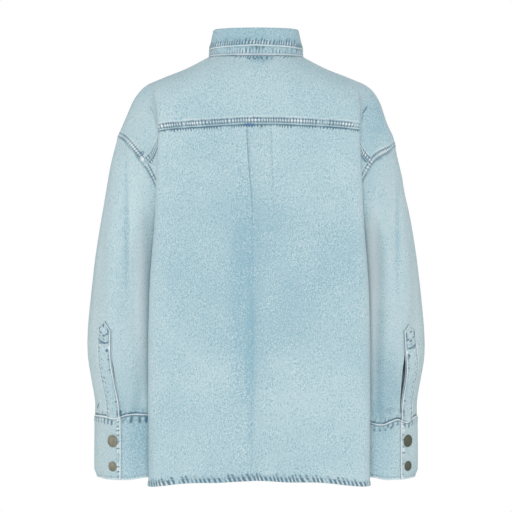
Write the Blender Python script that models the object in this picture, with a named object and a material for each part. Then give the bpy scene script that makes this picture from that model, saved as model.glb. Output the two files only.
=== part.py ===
"""A loose denim shirt with dropped shoulders, in the hollow shape that it has when it is worn.

The front faces -Y, +Z is up and the wearer's left is +X. The origin is in the middle of the neck
opening, level with the seam that joins the collar stand to the yoke. Every piece is cut from one
skin, which is worked out in millimetres from the tables below, and is a wall of one or two layers
of cloth. Neighbours share the skin's points and directions along a seam, and stop just short of it.
"""

import bpy
import numpy as np

MM = 0.001

# Cloth, in millimetres.
LAYER = 2.0  # a panel's wall
DOUBLE = 2.4  # cuffs, collar and bands, which are sewn from two layers
SEAM_GAP = 0.3  # between pieces that meet
NECK_RELIEF = 0.6  # the panels stop this far short of the neck seam, under the collar stand
STAND_FOOT = 1.8  # and the collar stand begins this far above it

# The armhole is an ellipse through its top and the underarm, drawn in towards the body.
ARMHOLE_TOP = np.array([221.0, -5.0, -127.0])
UNDERARM = np.array([135.0, -5.0, -285.0])
ARMHOLE_HALF_DEPTH = 62.0
ARMHOLE_BOW = 19.0
YOKE_BACK_ANGLE = 67.1  # where the yoke's back seam meets the armhole, in degrees from its top
YOKE_FRONT_ANGLE = 38.0
CHEST_ANGLE = 67.0

# The neck seam.
NECK_HALF_WIDTH = 75.0
NECK_BACK = 58.0
NECK_FRONT = 62.0
NECK_DROP = 50.0
YOKE_NECK_ANGLE = 118.0  # where the yoke's front seam meets it, in degrees round from the back

# The front closing.
BAND_HALF_WIDTH = 18.0
UNDERLAP = 14.0  # how far the left front runs under the band, past the middle

# The box pleat in the back panel.
PLEAT_HALF_WIDTH = 19.0
PLEAT_RISE = 2.4  # greatest, a little below the yoke seam, and none at the foot
PLEAT_TOP = -111.0
PLEAT_FOOT = -300.0

# The collar.
STAND_HEIGHT = 32.0
COLLAR_LEAN = 0.30  # how far the collar draws in for each millimetre that it rises
ROLL_RADIUS = 2.5
STAND_OVERLAP_ANGLE = 14.0
LEAF_END_ANGLE = 167.0  # where the leaf's ends are sewn to the stand

# The cuffs.
CUFF_TOP = -574.0
CUFF_HEIGHT = 102.0
CUFF_UNDERLAP_ANGLE = 26.0
PLACKET_LIFT = LAYER + 1.6 * SEAM_GAP

# The press studs: the wide caps close the front and the top of each cuff.
WIDE_CAP = 10.0
SMALL_CAP = 8.0
CAP_HEIGHT = 2.4
CAP_SIDES = 18
FRONT_CAP_HEIGHTS = (-92.0, -190.0, -288.0, -386.0, -484.0, -582.0)
CUFF_CAP_ANGLE = 426.0
CUFF_CAP_RISES = (("upper", WIDE_CAP, 0.61), ("lower", SMALL_CAP, 0.206))
NEIGHBOURS = ((0, 0), (0, -2), (0, 2), (-0.02, 0), (0.02, 0))


def table(columns, *rows):
    """A short table as one array for each named column."""
    return dict(zip(columns.split(), np.array(rows, float).T))


# Half of the body, from the hem (level 0) to the underarm (level 1) and up to the yoke seam or the
# chest line (level 2). Each row runs flat from the middle to a fold, which it leaves turned inwards
# by some degrees, to the side seam. Above the underarm it runs to the armhole, which it reaches
# turned outwards by some degrees.
BACK = table(
    "level centre_z centre_y fold_x fold_y fold_z leave arrive",
    (0.0, -669, 117, 173.5, 60, -679, 0, 0),
    (0.3, -565, 119, 174.0, 60, -567, 0, 0),
    (0.6, -440, 120, 174.0, 60, -440, 4, 0),
    (0.8, -356, 119, 171.5, 62, -356, 30, 5),
    (1.0, -285, 117, 166.0, 68, -287, 45, 14),
    (1.5, -198, 115, 161.5, 80, -203, 28, -34),
    (2.0, -111, 111, 157.0, 86, -119, 0, 52),
)
FRONT = table(
    "level centre_z centre_y fold_x fold_y fold_z leave arrive",
    (0.0, -678, -126, 163.0, -30, -680, 0, 0),
    (0.3, -565, -129, 160.0, -34, -565, 0, 0),
    (0.6, -440, -134, 156.0, -42, -440, 6, 0),
    (0.8, -356, -138, 152.0, -60, -356, 26, 5),
    (1.0, -285, -138, 150.0, -76, -285, 42, 14),
    (1.5, -205, -131, 151.0, -84, -209, 26, -24),
    (2.0, -125, -113, 151.0, -76, -134, 0, 60),
)
SIDE_SEAM = table(
    "level x y z",
    (0.0, 164, -15, -680),
    (0.3, 158, -14, -566),
    (0.6, 151, -12, -440),
    (0.8, 143, -9, -356),
    (1.0, 135, -5, -285),
)
SQUARE_BACK = 3.6
SQUARE_FRONT = 2.3

# The shoulder's ridge, from the neck to the top of the armhole.
RIDGE = table(
    "x y z",
    (75, 0, 0),
    (110, -1, -18),
    (150, -2, -34),
    (178, -3, -47),
    (194, -4, -64),
    (207, -5, -91),
    (221, -5, -127),
)

# The sleeve's rings from the armhole to the cuff. Each is an ellipse between its outer and inner
# points, whose inner half is sharper where its power is below 2. It is skewed backwards towards the
# body and twisted by some degrees, which differ between the left sleeve and the right one.
SLEEVE = table(
    "ring outer_x outer_z inner_x inner_z centre_y half_depth power bow skew twist_left twist_right",
    (0, 221.0, -127, 135, -285, -5, 62, 2.0, 19, 0.00, 0, 0),
    (1, 232.0, -172, 143, -300, -8, 61, 1.6, 7, 0.00, 1, 1),
    (2, 240.0, -217, 150, -317, -12, 62, 1.5, 2, 0.00, 3, 3),
    (3, 247.5, -262, 155, -341, -15, 62, 1.55, 0, 0.03, 4, 6),
    (4, 256.0, -322, 159, -378, -18, 63, 1.7, 0, 0.08, 4, 10),
    (5, 263.0, -380, 162, -418, -23, 61, 1.9, 0, 0.14, 6, 14),
    (6, 268.5, -437, 164, -460, -29, 57, 2.0, 0, 0.22, 6, 16),
    (7, 269.5, -480, 167, -494, -35, 52, 2.0, 0, 0.30, 4, 16),
    (8, 265.0, -517, 169, -523, -40, 46, 2.0, 0, 0.38, 0, 16),
    (9, 260.0, -550, 168, -551, -44, 39, 2.0, 0, 0.45, -3, 15),
    (10, 259.5, -574, 167, -574, -47, 33, 2.0, 0, 0.50, -4, 15),
)
CUFF = table(
    "rise centre_x half_width centre_y half_depth skew",
    (0.0, 213.5, 47.0, -53, 30, 0.50),
    (0.5, 213.0, 47.5, -51, 32, 0.50),
    (1.0, 213.2, 46.5, -47, 33, 0.50),
)

# The collar leaf's free edge: how far round from the back, how far out from the neck seam, and how
# high above it, from the middle of the back (share 0) to the point (share 1).
LEAF_EDGE = table(
    "share angle out up",
    (0.00, 0, -1.8, 16.5),
    (0.35, 60, -1.6, 16.3),
    (0.60, 104, 1.5, 13.0),
    (0.80, 132, 20.0, -4.0),
    (1.00, 153, 46.0, -33.0),
)
COLLAR_SHARES = np.linspace(-1, 1, 31)

# Where the cut lines and mesh lines run. The armhole's angles are shared by the body and the sleeve.
HEM_LEVELS = np.array([0.0, 0.15, 0.32, 0.48, 0.64, 0.8, 0.9])
ARMHOLE_BACK = np.array([180.0, 163.3, 146.7, 130.0, 113.3, 96.7, 80.0, YOKE_BACK_ANGLE])
ARMHOLE_YOKE_BACK = np.array([YOKE_BACK_ANGLE, 54.0, 36.0, 18.0, 0.0])
ARMHOLE_YOKE_FRONT = np.array([0.0, 19.0, YOKE_FRONT_ANGLE])
ARMHOLE_CHEST = np.array([YOKE_FRONT_ANGLE, 52.0, CHEST_ANGLE])
ARMHOLE_FRONT = np.array([CHEST_ANGLE, 86.0, 105.0, 124.0, 143.0, 162.0, 180.0])
SHOULDER_SHARES = np.array([0.0, 0.16, 0.3, 0.39, 0.455, 0.52, 0.58, 0.65, 0.74, 0.83, 0.92, 1.0])
NECK_SHARE_BACK = 0.30  # of a back row's length beyond the pleat, under the side of the neck
NECK_SHARE_FRONT = 0.26
BACK_SHARES = np.concatenate(
    ([0.0, 0.1, 0.2], NECK_SHARE_BACK + (1 - NECK_SHARE_BACK) * SHOULDER_SHARES)
)
FRONT_SHARES = np.concatenate(
    ([0.0, 0.087, 0.173], NECK_SHARE_FRONT + (1 - NECK_SHARE_FRONT) * SHOULDER_SHARES)
)
PLEAT_COLUMNS = np.array([0.0, PLEAT_HALF_WIDTH - 3])
BAND_COLUMNS = np.array([-BAND_HALF_WIDTH, -UNDERLAP, -7.0, 0.0, 7.0, BAND_HALF_WIDTH])
RINGS = np.array([0.0, 0.9, 1.9, 3.0, 4.0, 5.0, 5.57, 5.8, 6.5, 7.3, 8.1, 9.0, 10.0])
PLACKET_TIP_RING = 6  # the placket's point, its full width and the top of the slit, in RINGS
PLACKET_SHOULDER_RING = 7
SLIT_RING = 8
SLIT_OPENING = np.array([0.0, 2.4, 2.6, 1.6, 0.3])  # how far each side of the slit stands back
SLIT_ANGLE = 80.0
CUFF_ANGLES = np.linspace(SLIT_ANGLE - CUFF_UNDERLAP_ANGLE, SLIT_ANGLE + 360, 31)

DENIM = ("denim", (0.53, 0.69, 0.75), 0.85, 0.0)
METAL = ("cap_metal", (0.35, 0.32, 0.26), 0.35, 1.0)


# ---- curves ------------------------------------------------------------------------------------


def smooth(at, knots, values):
    """A cubic through the values, whose slope at each knot comes from the knots on either side."""
    slopes = np.gradient(values, knots)
    i = np.clip(np.searchsorted(knots, at, side="right") - 1, 0, len(knots) - 2)
    step = knots[i + 1] - knots[i]
    t = (at - knots[i]) / step
    start = values[i] * (1 + 2 * t) * (1 - t) ** 2 + slopes[i] * step * t * (1 - t) ** 2
    end = values[i + 1] * (3 - 2 * t) * t**2 - slopes[i + 1] * step * (1 - t) * t**2
    return start + end


def read(columns, at, key):
    """Every column of a table at the places given, as one row for each place."""
    return {name: smooth(at, columns[key], values)[..., None] for name, values in columns.items()}


def ease(t):
    """0 to 1, level at both ends."""
    t = np.clip(t, 0, 1)
    return t * t * (3 - 2 * t)


def unit(vectors):
    return vectors / np.linalg.norm(vectors, axis=-1, keepdims=True)


def bezier(foot, foot_pull, top, top_pull, t):
    """Cubic columns from foot to top, with one row for each t."""
    t = t[:, None, None]
    near, far = foot + foot_pull, top - top_pull
    return (1 - t) ** 3 * foot + 3 * t * (1 - t) ** 2 * near + 3 * t * t * (1 - t) * far + t**3 * top


def at_shares(line, shares):
    """Points of a line at these shares of its length."""
    run = np.concatenate(([0.0], np.cumsum(np.linalg.norm(np.diff(line, axis=0), axis=1))))
    return np.stack([np.interp(shares * run[-1], run, line[:, k]) for k in range(3)], axis=-1)


def beyond(line, width, shares):
    """Points of a half row at these shares of its length past a place this far from the middle."""
    edge = at_widths(line, np.array([width]))
    return at_shares(np.concatenate([edge, line[line[:, 0] > width]]), shares)


def neck_angle(widths):
    """Degrees round the neck seam from the middle, at these distances from it."""
    return np.degrees(np.arcsin(widths / NECK_HALF_WIDTH))


def at_widths(line, widths):
    """Points of a half row where it is this far from the middle, mirrored on its other side."""
    points = np.stack([np.interp(np.abs(widths), line[:, 0], line[:, k]) for k in range(3)], axis=-1)
    points[:, 0] = widths
    return points


# ---- the skin ----------------------------------------------------------------------------------


def bow_shape(sine):
    return sine**2 / (0.12 + 0.88 * sine)


def armhole(angle):
    """The armhole seam, by degrees from its top: positive behind, negative in front."""
    turn = np.radians(angle)[..., None]
    point = UNDERARM + (1 + np.cos(turn)) / 2 * (ARMHOLE_TOP - UNDERARM)
    drawn_in = ARMHOLE_BOW * bow_shape(np.abs(np.sin(turn)))
    return point + np.concatenate([-drawn_in, ARMHOLE_HALF_DEPTH * np.sin(turn), 0 * turn], axis=-1)


def neckline(angle):
    """The neck seam, by degrees round from the middle of the back: level behind, dipping in front."""
    turn = np.radians(angle)
    forward = np.minimum(np.cos(turn), 0)
    deep = np.where(np.cos(turn) > 0, NECK_BACK, NECK_FRONT)
    return np.stack([NECK_HALF_WIDTH * np.sin(turn), deep * np.cos(turn), -NECK_DROP * forward**2], -1)


def half_rows(side, levels, ends, facing, square):
    """Dense half rows of the back (facing 1) or the front (facing -1).

    A superellipse runs from the middle to the fold, and a cubic from there to the row's end.
    """
    v = read(side, levels, "level")
    a = np.linspace(0, np.pi / 2, 70)
    flat_x = v["fold_x"] * np.sin(a) ** (2 / square)
    flat_y = v["fold_y"] + (v["centre_y"] - v["fold_y"]) * np.cos(a) ** (2 / square)
    flat_z = v["centre_z"] + (v["fold_z"] - v["centre_z"]) * (flat_x / v["fold_x"]) ** 2
    t = np.linspace(0, 1, 50)[1:]
    gap = np.hypot(ends[:, :1] - v["fold_x"], ends[:, 1:2] - v["fold_y"])
    leave, arrive = np.radians(v["leave"]), np.radians(v["arrive"])
    near_x = v["fold_x"] - 0.4 * gap * np.sin(leave)
    near_y = v["fold_y"] - facing * 0.4 * gap * np.cos(leave)
    far_x = ends[:, :1] - 0.4 * gap * np.sin(arrive)
    far_y = ends[:, 1:2] + facing * 0.4 * gap * np.cos(arrive)
    weights = ((1 - t) ** 3, 3 * t * (1 - t) ** 2, 3 * t * t * (1 - t), t**3)
    turn_x = v["fold_x"] * weights[0] + near_x * weights[1] + far_x * weights[2] + ends[:, :1] * weights[3]
    turn_y = v["fold_y"] * weights[0] + near_y * weights[1] + far_y * weights[2] + ends[:, 1:2] * weights[3]
    turn_z = v["fold_z"] + (ends[:, 2:] - v["fold_z"]) * t * (2 - t)
    joined = [np.concatenate(pair, axis=1) for pair in ((flat_x, turn_x), (flat_y, turn_y), (flat_z, turn_z))]
    return np.stack(joined, axis=-1)


def side_seam(levels):
    return np.stack([smooth(levels, SIDE_SEAM["level"], SIDE_SEAM[k]) for k in "xyz"], axis=-1)


def body_levels(angles, top_angle):
    """The levels and end points of the rows: up the side seam, then up the armhole."""
    levels = np.concatenate([HEM_LEVELS, 1 + (180 - np.abs(angles)) / (180 - top_angle)])
    ends = np.concatenate([side_seam(HEM_LEVELS), armhole(angles)])
    return levels, ends


def back_lines():
    levels, ends = body_levels(ARMHOLE_BACK, YOKE_BACK_ANGLE)
    return half_rows(BACK, levels, ends, 1, SQUARE_BACK)


def front_lines():
    levels, ends = body_levels(-ARMHOLE_FRONT[::-1], CHEST_ANGLE)
    return half_rows(FRONT, levels, ends, -1, SQUARE_FRONT)


def ridge(shares):
    points = np.stack([RIDGE[k] for k in "xyz"], axis=-1)
    run = np.concatenate(([0.0], np.cumsum(np.linalg.norm(np.diff(points, axis=0), axis=1))))
    dense = np.linspace(0, run[-1], 200)
    return at_shares(np.stack([smooth(dense, run, points[:, k]) for k in range(3)], axis=-1), shares)


def front_seam(shares):
    """The yoke's front seam: the ridge carried forwards and down, from the neck to the armhole."""
    start = neckline(np.array(YOKE_NECK_ANGLE)) - neckline(np.array(90.0))
    end = armhole(np.array(-YOKE_FRONT_ANGLE)) - ARMHOLE_TOP
    middle = np.array([-4.0, -42.0, -17.0])
    u = shares[:, None]
    return ridge(shares) + (1 - u) ** 2 * start + 2 * u * (1 - u) * middle + u * u * end


def meet(grid, edge, column, shares):
    """Draws a grid's first or last column onto a known curve, and fades the change across it."""
    fade = ease(1 - shares / 0.3) if column == 0 else ease((shares - 0.7) / 0.3)
    return grid + (edge - grid[:, column])[:, None] * fade[None, :, None]


def back_row(line):
    """A back row's points: to the pleat's edge by width, and beyond it by share."""
    return np.concatenate([at_widths(line, PLEAT_COLUMNS), beyond(line, PLEAT_HALF_WIDTH, BACK_SHARES)])


def yoke_back_rows(foot, below):
    """The yoke's back half, up from the back panel's top row to the neck seam and the ridge."""
    edge = neck_angle(PLEAT_HALF_WIDTH)
    round_neck = BACK_SHARES[BACK_SHARES < NECK_SHARE_BACK] / NECK_SHARE_BACK
    top = np.concatenate([
        neckline(neck_angle(PLEAT_COLUMNS)),
        neckline(edge + round_neck * (90 - edge)),
        ridge(SHOULDER_SHARES),
    ])
    shares = np.concatenate([0 * PLEAT_COLUMNS, BACK_SHARES])
    reach = np.linalg.norm(top - foot, axis=1)[:, None]
    lean = 0.75 * np.clip(1 - shares / NECK_SHARE_BACK, 0, 1)
    into = unit(np.stack([0 * lean, -1 + 0 * lean, lean], axis=-1))
    rise = (YOKE_BACK_ANGLE - ARMHOLE_YOKE_BACK) / YOKE_BACK_ANGLE
    grid = bezier(foot, unit(foot - below) * reach * 0.38, top, into * reach * 0.42, rise)
    return meet(grid, armhole(ARMHOLE_YOKE_BACK), -1, shares)


def yoke_front_rows():
    """The yoke's front half on one shoulder, from the ridge down to its front seam."""
    shares = SHOULDER_SHARES
    top, foot = ridge(shares), front_seam(shares)
    reach = np.linalg.norm(top - foot, axis=1)[:, None]
    level, down = np.array([0.0, -1.0, 0.0]), unit(np.array([0.0, -0.6, -0.8]))
    fall = ARMHOLE_YOKE_FRONT / YOKE_FRONT_ANGLE
    grid = bezier(top, level * reach * 0.35, foot, down * reach * 0.35, fall)
    grid = meet(grid, neckline(90 + fall * (YOKE_NECK_ANGLE - 90)), 0, shares)
    return meet(grid, armhole(-ARMHOLE_YOKE_FRONT), -1, shares)


def chest_rows(foot, below, top, shares):
    """The front panel above the chest line, up to the neck seam and the yoke's front seam."""
    reach = np.linalg.norm(top - foot, axis=1)[:, None]
    into = unit(np.array([0.0, 0.62, 0.78]))
    rise = (CHEST_ANGLE - ARMHOLE_CHEST[::-1]) / (CHEST_ANGLE - YOKE_FRONT_ANGLE)
    grid = bezier(foot, unit(foot - below) * reach * 0.38, top, into * reach * 0.36, rise)
    if shares is None:
        return grid
    return meet(grid, armhole(-ARMHOLE_CHEST[::-1]), -1, shares)


def pleat_rise(points):
    """How far the pleat stands out of the back panel: least in its seam, most just below."""
    down = PLEAT_TOP - points[:, 2]
    fade = ease((points[:, 2] - PLEAT_FOOT) / (PLEAT_TOP - PLEAT_FOOT))
    held = 0.25 + 0.75 * ease(down / 30)
    return np.where(np.abs(points[:, 0]) < PLEAT_HALF_WIDTH - 1, PLEAT_RISE * fade * held, 0)


def back_and_yoke():
    """Half grids of the back panel and of the yoke's back half."""
    back = np.stack([back_row(line) for line in back_lines()])
    end = armhole(np.array([YOKE_BACK_ANGLE + 5.6]))
    just_below = half_rows(BACK, np.array([1.95]), end, 1, SQUARE_BACK)[0]
    return back, yoke_back_rows(back[-1], back_row(just_below))


def front_halves():
    """Half grids of a front panel by share of its rows, and of the middle strip by width."""
    lines = front_lines()
    end = armhole(np.array([-CHEST_ANGLE - 5.6]))
    just_below = half_rows(FRONT, np.array([1.95]), end, -1, SQUARE_FRONT)[0]

    panel = np.stack([beyond(line, BAND_HALF_WIDTH, FRONT_SHARES) for line in lines])
    edge = 180 - neck_angle(BAND_HALF_WIDTH)
    round_neck = FRONT_SHARES[FRONT_SHARES < NECK_SHARE_FRONT] / NECK_SHARE_FRONT
    top = np.concatenate([
        neckline(edge + round_neck * (YOKE_NECK_ANGLE - edge)),
        front_seam(SHOULDER_SHARES),
    ])
    below = beyond(just_below, BAND_HALF_WIDTH, FRONT_SHARES)
    panel = np.concatenate([panel, chest_rows(panel[-1], below, top, FRONT_SHARES)[1:]])

    strip = np.stack([at_widths(line, BAND_COLUMNS) for line in lines])
    top = neckline(180 - neck_angle(BAND_COLUMNS))
    below = at_widths(just_below, BAND_COLUMNS)
    strip = np.concatenate([strip, chest_rows(strip[-1], below, top, None)[1:]])
    return panel, strip


def sleeve_points(rings, angles, twist):
    """The sleeve by ring and by degrees round from the outside, at equal shapes of both arguments."""
    v = {name: smooth(rings, SLEEVE["ring"], values) for name, values in SLEEVE.items()}
    turn = np.radians(angles - v[twist])
    sharp = np.where(np.cos(turn) < 0, 2 / v["power"], 1)
    out = np.sign(np.cos(turn)) * np.abs(np.cos(turn)) ** sharp
    deep = np.sign(np.sin(turn)) * np.abs(np.sin(turn)) ** sharp
    reach = (v["outer_x"] - v["inner_x"]) / 2 * out
    x = (v["outer_x"] + v["inner_x"]) / 2 + reach - v["bow"] * bow_shape(np.abs(deep))
    y = v["centre_y"] + v["half_depth"] * deep - v["skew"] * reach
    z = (v["outer_z"] + v["inner_z"]) / 2 + (v["outer_z"] - v["inner_z"]) / 2 * out
    return np.stack([x, y, z], axis=-1)


def sleeve_angles():
    """Once round the armhole from the slit's line at 80 degrees, back over the underarm, to it again."""
    behind = ARMHOLE_BACK[:-1][::-1]
    below_front = 360 - ARMHOLE_FRONT[::-1][1:]
    front_top = 360 - np.concatenate([ARMHOLE_CHEST[::-1][1:], ARMHOLE_YOKE_FRONT[::-1][1:]])
    behind_top = 360 + np.concatenate([ARMHOLE_YOKE_BACK[::-1][1:], [80.0]])
    return np.concatenate([behind, below_front, front_top, behind_top])


def cuff_points(rise, angles, twist):
    """A cuff as a strip: its first end lies under its last one, as both close on each other."""
    v = {name: smooth(rise, CUFF["rise"], values) for name, values in CUFF.items()}
    turn = np.radians(angles - SLEEVE[twist][-1])
    share = (angles - CUFF_ANGLES[0]) / (CUFF_ANGLES[-1] - CUFF_ANGLES[0])
    away = (DOUBLE + SEAM_GAP) / 2 * (ease((share - 0.65) / 0.22) - ease((0.35 - share) / 0.22))
    x = (v["half_width"] + away) * np.cos(turn)
    y = v["centre_y"] + (v["half_depth"] + away) * np.sin(turn) - v["skew"] * x
    z = CUFF_TOP - 2 * SEAM_GAP - CUFF_HEIGHT * (1 - rise)
    return np.stack([v["centre_x"] + x, y, z], axis=-1)


def collar_points(angle, out, up):
    """A point by degrees round from the back, distance out from the neck seam and height above it."""
    turn = np.radians(angle)
    return neckline(angle) + np.stack([out * np.sin(turn), out * np.cos(turn), up + 0 * turn], axis=-1)


def stand_points():
    """The collar stand as a strip, whose right end laps over its left end in front."""
    lap = np.linspace(LEAF_END_ANGLE, 180 + STAND_OVERLAP_ANGLE, 4)[1:]
    angle = np.concatenate([-lap[::-1], COLLAR_SHARES * LEAF_END_ANGLE, lap])
    up = np.array([STAND_FOOT, STAND_HEIGHT / 2, STAND_HEIGHT])[:, None]
    away = (DOUBLE + SEAM_GAP) / 2 * (ease((-angle - 150) / 16) - ease((angle - 150) / 16))
    return collar_points(angle + 0 * up, away - COLLAR_LEAN * up, up)


def leaf_points():
    """The collar leaf: up from the stand's top, over a small roll, and down to its free edge."""
    share = COLLAR_SHARES
    v = {name: smooth(np.abs(share), LEAF_EDGE["share"], values) for name, values in LEAF_EDGE.items()}
    start_angle = share * LEAF_END_ANGLE
    top = STAND_HEIGHT + 9.5
    foot = STAND_HEIGHT + 3 * SEAM_GAP
    rows = [collar_points(start_angle, -COLLAR_LEAN * foot, foot)]
    for turn in np.radians([180.0, 120.0, 60.0, 0.0]):
        out = -COLLAR_LEAN * top + ROLL_RADIUS * (1 + np.cos(turn))
        rows.append(collar_points(start_angle, out, top + ROLL_RADIUS * np.sin(turn)))
    edge = collar_points(np.sign(share) * v["angle"], v["out"], v["up"])
    rows += [rows[4] + fall * (edge - rows[4]) for fall in (0.33, 0.66, 1.0)]
    return np.stack(rows)


# ---- pieces ------------------------------------------------------------------------------------


def mirrored(grid):
    """The other side's grid, with its columns turned round so that it faces outwards too."""
    return (grid * [-1, 1, 1])[:, ::-1]


def both_sides(grid):
    """A half grid whose first column is the middle, joined with its mirror image."""
    return np.concatenate([mirrored(grid)[:, :-1], grid], axis=1)


def quads(rows, columns):
    i, j = np.meshgrid(np.arange(rows - 1), np.arange(columns - 1), indexing="ij")
    a = (i * columns + j).ravel()
    return np.stack([a, a + 1, a + columns + 1, a + columns], axis=-1)


def weld(grids, within=0.01):
    """One list of points and faces from several grids, with points that coincide made one."""
    points, faces, count = [], [], 0
    for grid in grids:
        points.append(grid.reshape(-1, 3))
        faces.append(quads(*grid.shape[:2]) + count)
        count += grid.shape[0] * grid.shape[1]
    points, faces = np.concatenate(points), np.concatenate(faces)
    _, first, index = np.unique(np.round(points / within), axis=0, return_index=True, return_inverse=True)
    return points[first], index.reshape(-1)[faces]


def corner_normals(points, faces):
    """Each point's direction: the mean of its faces' directions, weighted by their area."""
    corners = points[faces]
    cross = np.cross(corners[:, 2] - corners[:, 0], corners[:, 3] - corners[:, 1])
    normals = np.zeros_like(points)
    for k in range(faces.shape[1]):
        np.add.at(normals, faces[:, k], cross)
    return unit(normals)


class Skin:
    """The whole shirt's outer form, from which every piece takes its directions."""

    def __init__(self, grids):
        self.points, faces = weld(grids)
        self.normals = corner_normals(self.points, faces)

    def normals_at(self, points):
        """The skin's direction at each point, which is one of the skin's own."""
        nearest = [np.argmin(np.sum((self.points - p) ** 2, axis=1)) for p in points]
        return self.normals[nearest]


def open_edges(faces):
    """Edges that belong to one face only, in the direction in which that face runs."""
    edges = np.concatenate([faces[:, [k, (k + 1) % 4]] for k in range(4)])
    edges = edges[edges[:, 0] != edges[:, 1]]
    seen = {tuple(e) for e in edges}
    return np.array([e for e in edges if (e[1], e[0]) not in seen])


def drawn_back(points, faces, normals, distance):
    """The open edge's points moved into the piece, each by its own distance."""
    inward = np.zeros_like(points)
    for a, b in open_edges(faces):
        across = unit(np.cross(normals[a] + normals[b], points[b] - points[a]))
        inward[a] += across
        inward[b] += across
    length = np.linalg.norm(inward, axis=1)
    on_edge = length > 1e-6
    inward[on_edge] /= length[on_edge, None]
    miter = np.where(on_edge, np.clip(2 / np.maximum(length, 1e-6), 1, 1.4), 0)
    return points + inward * (miter * distance)[:, None]


def material(name, colour, roughness, metallic):
    found = bpy.data.materials.get(name)
    if found:
        return found
    made = bpy.data.materials.new(name)
    made.use_nodes = True
    shader = made.node_tree.nodes["Principled BSDF"]
    shader.inputs["Base Color"].default_value = (*colour, 1)
    shader.inputs["Roughness"].default_value = roughness
    shader.inputs["Metallic"].default_value = metallic
    made.diffuse_color = (*colour, 1)
    return made


def add_object(name, points, faces, finish, smooth_below=40.0):
    mesh = bpy.data.meshes.new(name)
    mesh.from_pydata((np.asarray(points) * MM).tolist(), [], [tuple(f) for f in faces])
    mesh.materials.append(material(*finish))
    mesh.shade_smooth()
    mesh.set_sharp_from_angle(angle=np.radians(smooth_below))
    made = bpy.data.objects.new(name, mesh)
    bpy.context.scene.collection.objects.link(made)
    return made


def add_wall(name, points, faces, normals, thickness=LAYER, lift=0.0):
    """A piece of cloth as a closed wall: an outer skin, an inner skin, and a rim along open edges."""
    count = len(points)
    outer = points + normals * (lift + thickness / 2)
    inner = points + normals * (lift - thickness / 2)
    rim = [(b, a, a + count, b + count) for a, b in open_edges(faces)]
    sides = [tuple(f) for f in faces] + [tuple(f[::-1] + count) for f in faces] + rim
    return add_object(name, np.concatenate([outer, inner]), sides, DENIM)


def seam_distances(points, neck_points):
    """How far each point of a piece's open edge stands back: most along the neck seam."""
    distance = np.full(len(points), SEAM_GAP / 2)
    for p in neck_points:
        distance[np.sum((points - p) ** 2, axis=1) < 1e-3] = NECK_RELIEF
    return distance


def add_panel(name, grids, skin, neck_points, thickness=LAYER, lift=0.0, rise=None):
    """A piece cut from the skin's own grids, drawn back from its seams."""
    points, faces = weld(grids)
    normals = skin.normals_at(points)
    points = drawn_back(points, faces, normals, seam_distances(points, neck_points))
    if rise is not None:
        points = points + normals * rise(points)[:, None]
    return add_wall(name, points, faces, normals, thickness, lift)


def add_strip(name, grid, thickness=DOUBLE, flip=False):
    """A piece that is a grid of its own, such as a cuff or a collar."""
    points = (grid[:, ::-1] if flip else grid).reshape(-1, 3)
    faces = quads(*grid.shape[:2])
    return add_wall(name, points, faces, corner_normals(points, faces), thickness)


def outwards(faces, side):
    """Faces of an arm's grid, whose rows run down from the shoulder, turned to face outwards."""
    return faces[:, ::-1] if side == "left" else faces


def add_sleeve(side, grid, skin):
    """A sleeve: a tube that is open along its slit, from the slit's top down to the cuff.

    It stands back further from the armhole under the arm, where its wall and the body's fold shut.
    """
    rows, columns = grid.shape[:2]
    number = np.arange(rows * columns).reshape(rows, columns)
    number[: SLIT_RING + 1, -1] = number[: SLIT_RING + 1, 0]
    faces = outwards(number.reshape(-1)[quads(rows, columns)], side)
    distance = np.full((rows, columns), SEAM_GAP / 2)
    distance[0] = SEAM_GAP * (1 - 5.5 * np.minimum(np.cos(np.radians(sleeve_angles())), 0))
    distance[SLIT_RING:, 0] = distance[SLIT_RING:, -1] = SLIT_OPENING
    used = np.unique(faces)
    faces = np.searchsorted(used, faces)
    points, distance = grid.reshape(-1, 3)[used], distance.reshape(-1)[used]
    normals = skin.normals_at(points)
    points = drawn_back(points, faces, normals, distance)
    add_wall(f"sleeve_{side}", points, faces, normals)


def add_placket(side, grid, skin):
    """The pointed strip beside the slit, made from the sleeve's points there and moved out."""
    strip = grid[PLACKET_SHOULDER_RING:, -3:]
    points = np.concatenate([strip.reshape(-1, 3), grid[PLACKET_TIP_RING, -2][None]])
    faces = np.concatenate([quads(*strip.shape[:2]), [[1, 0, len(points) - 1, 2]]])
    faces = outwards(faces, side)
    normals = skin.normals_at(points)
    distance = np.full(len(points), SEAM_GAP / 2)
    distance[-4:-1] = 1.5
    points = drawn_back(points, faces, normals, distance)
    add_wall(f"sleeve_placket_{side}", points, faces, normals, LAYER, PLACKET_LIFT)


def add_cap(name, radius, point, normal):
    """A press stud's domed cap, turned about its axis, standing just clear of the cloth."""
    rim = table("out up", (0.55, 0.98), (0.82, 0.82), (0.96, 0.50), (1.00, 0.22), (0.94, 0.00))
    turn = np.arange(CAP_SIDES) * 2 * np.pi / CAP_SIDES
    across = unit(np.cross(normal, [0.0, 0.0, 1.0]))
    up = np.cross(normal, across)
    ring = np.cos(turn)[:, None] * across + np.sin(turn)[:, None] * up
    rings = [point + out * radius * ring + rise * CAP_HEIGHT * normal for out, rise in zip(rim["out"], rim["up"])]
    points = np.concatenate([*rings, [point + CAP_HEIGHT * normal], [point]])
    crown, seat = len(points) - 2, len(points) - 1
    last = (len(rings) - 1) * CAP_SIDES
    faces = []
    for j in range(CAP_SIDES):
        k = (j + 1) % CAP_SIDES
        faces.append((j, k, crown))
        faces.append((last + k, last + j, seat))
        for base in range(0, last, CAP_SIDES):
            faces.append((base + k, base + j, base + CAP_SIDES + j, base + CAP_SIDES + k))
    add_object(name, points, faces, METAL, 50.0)


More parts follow.
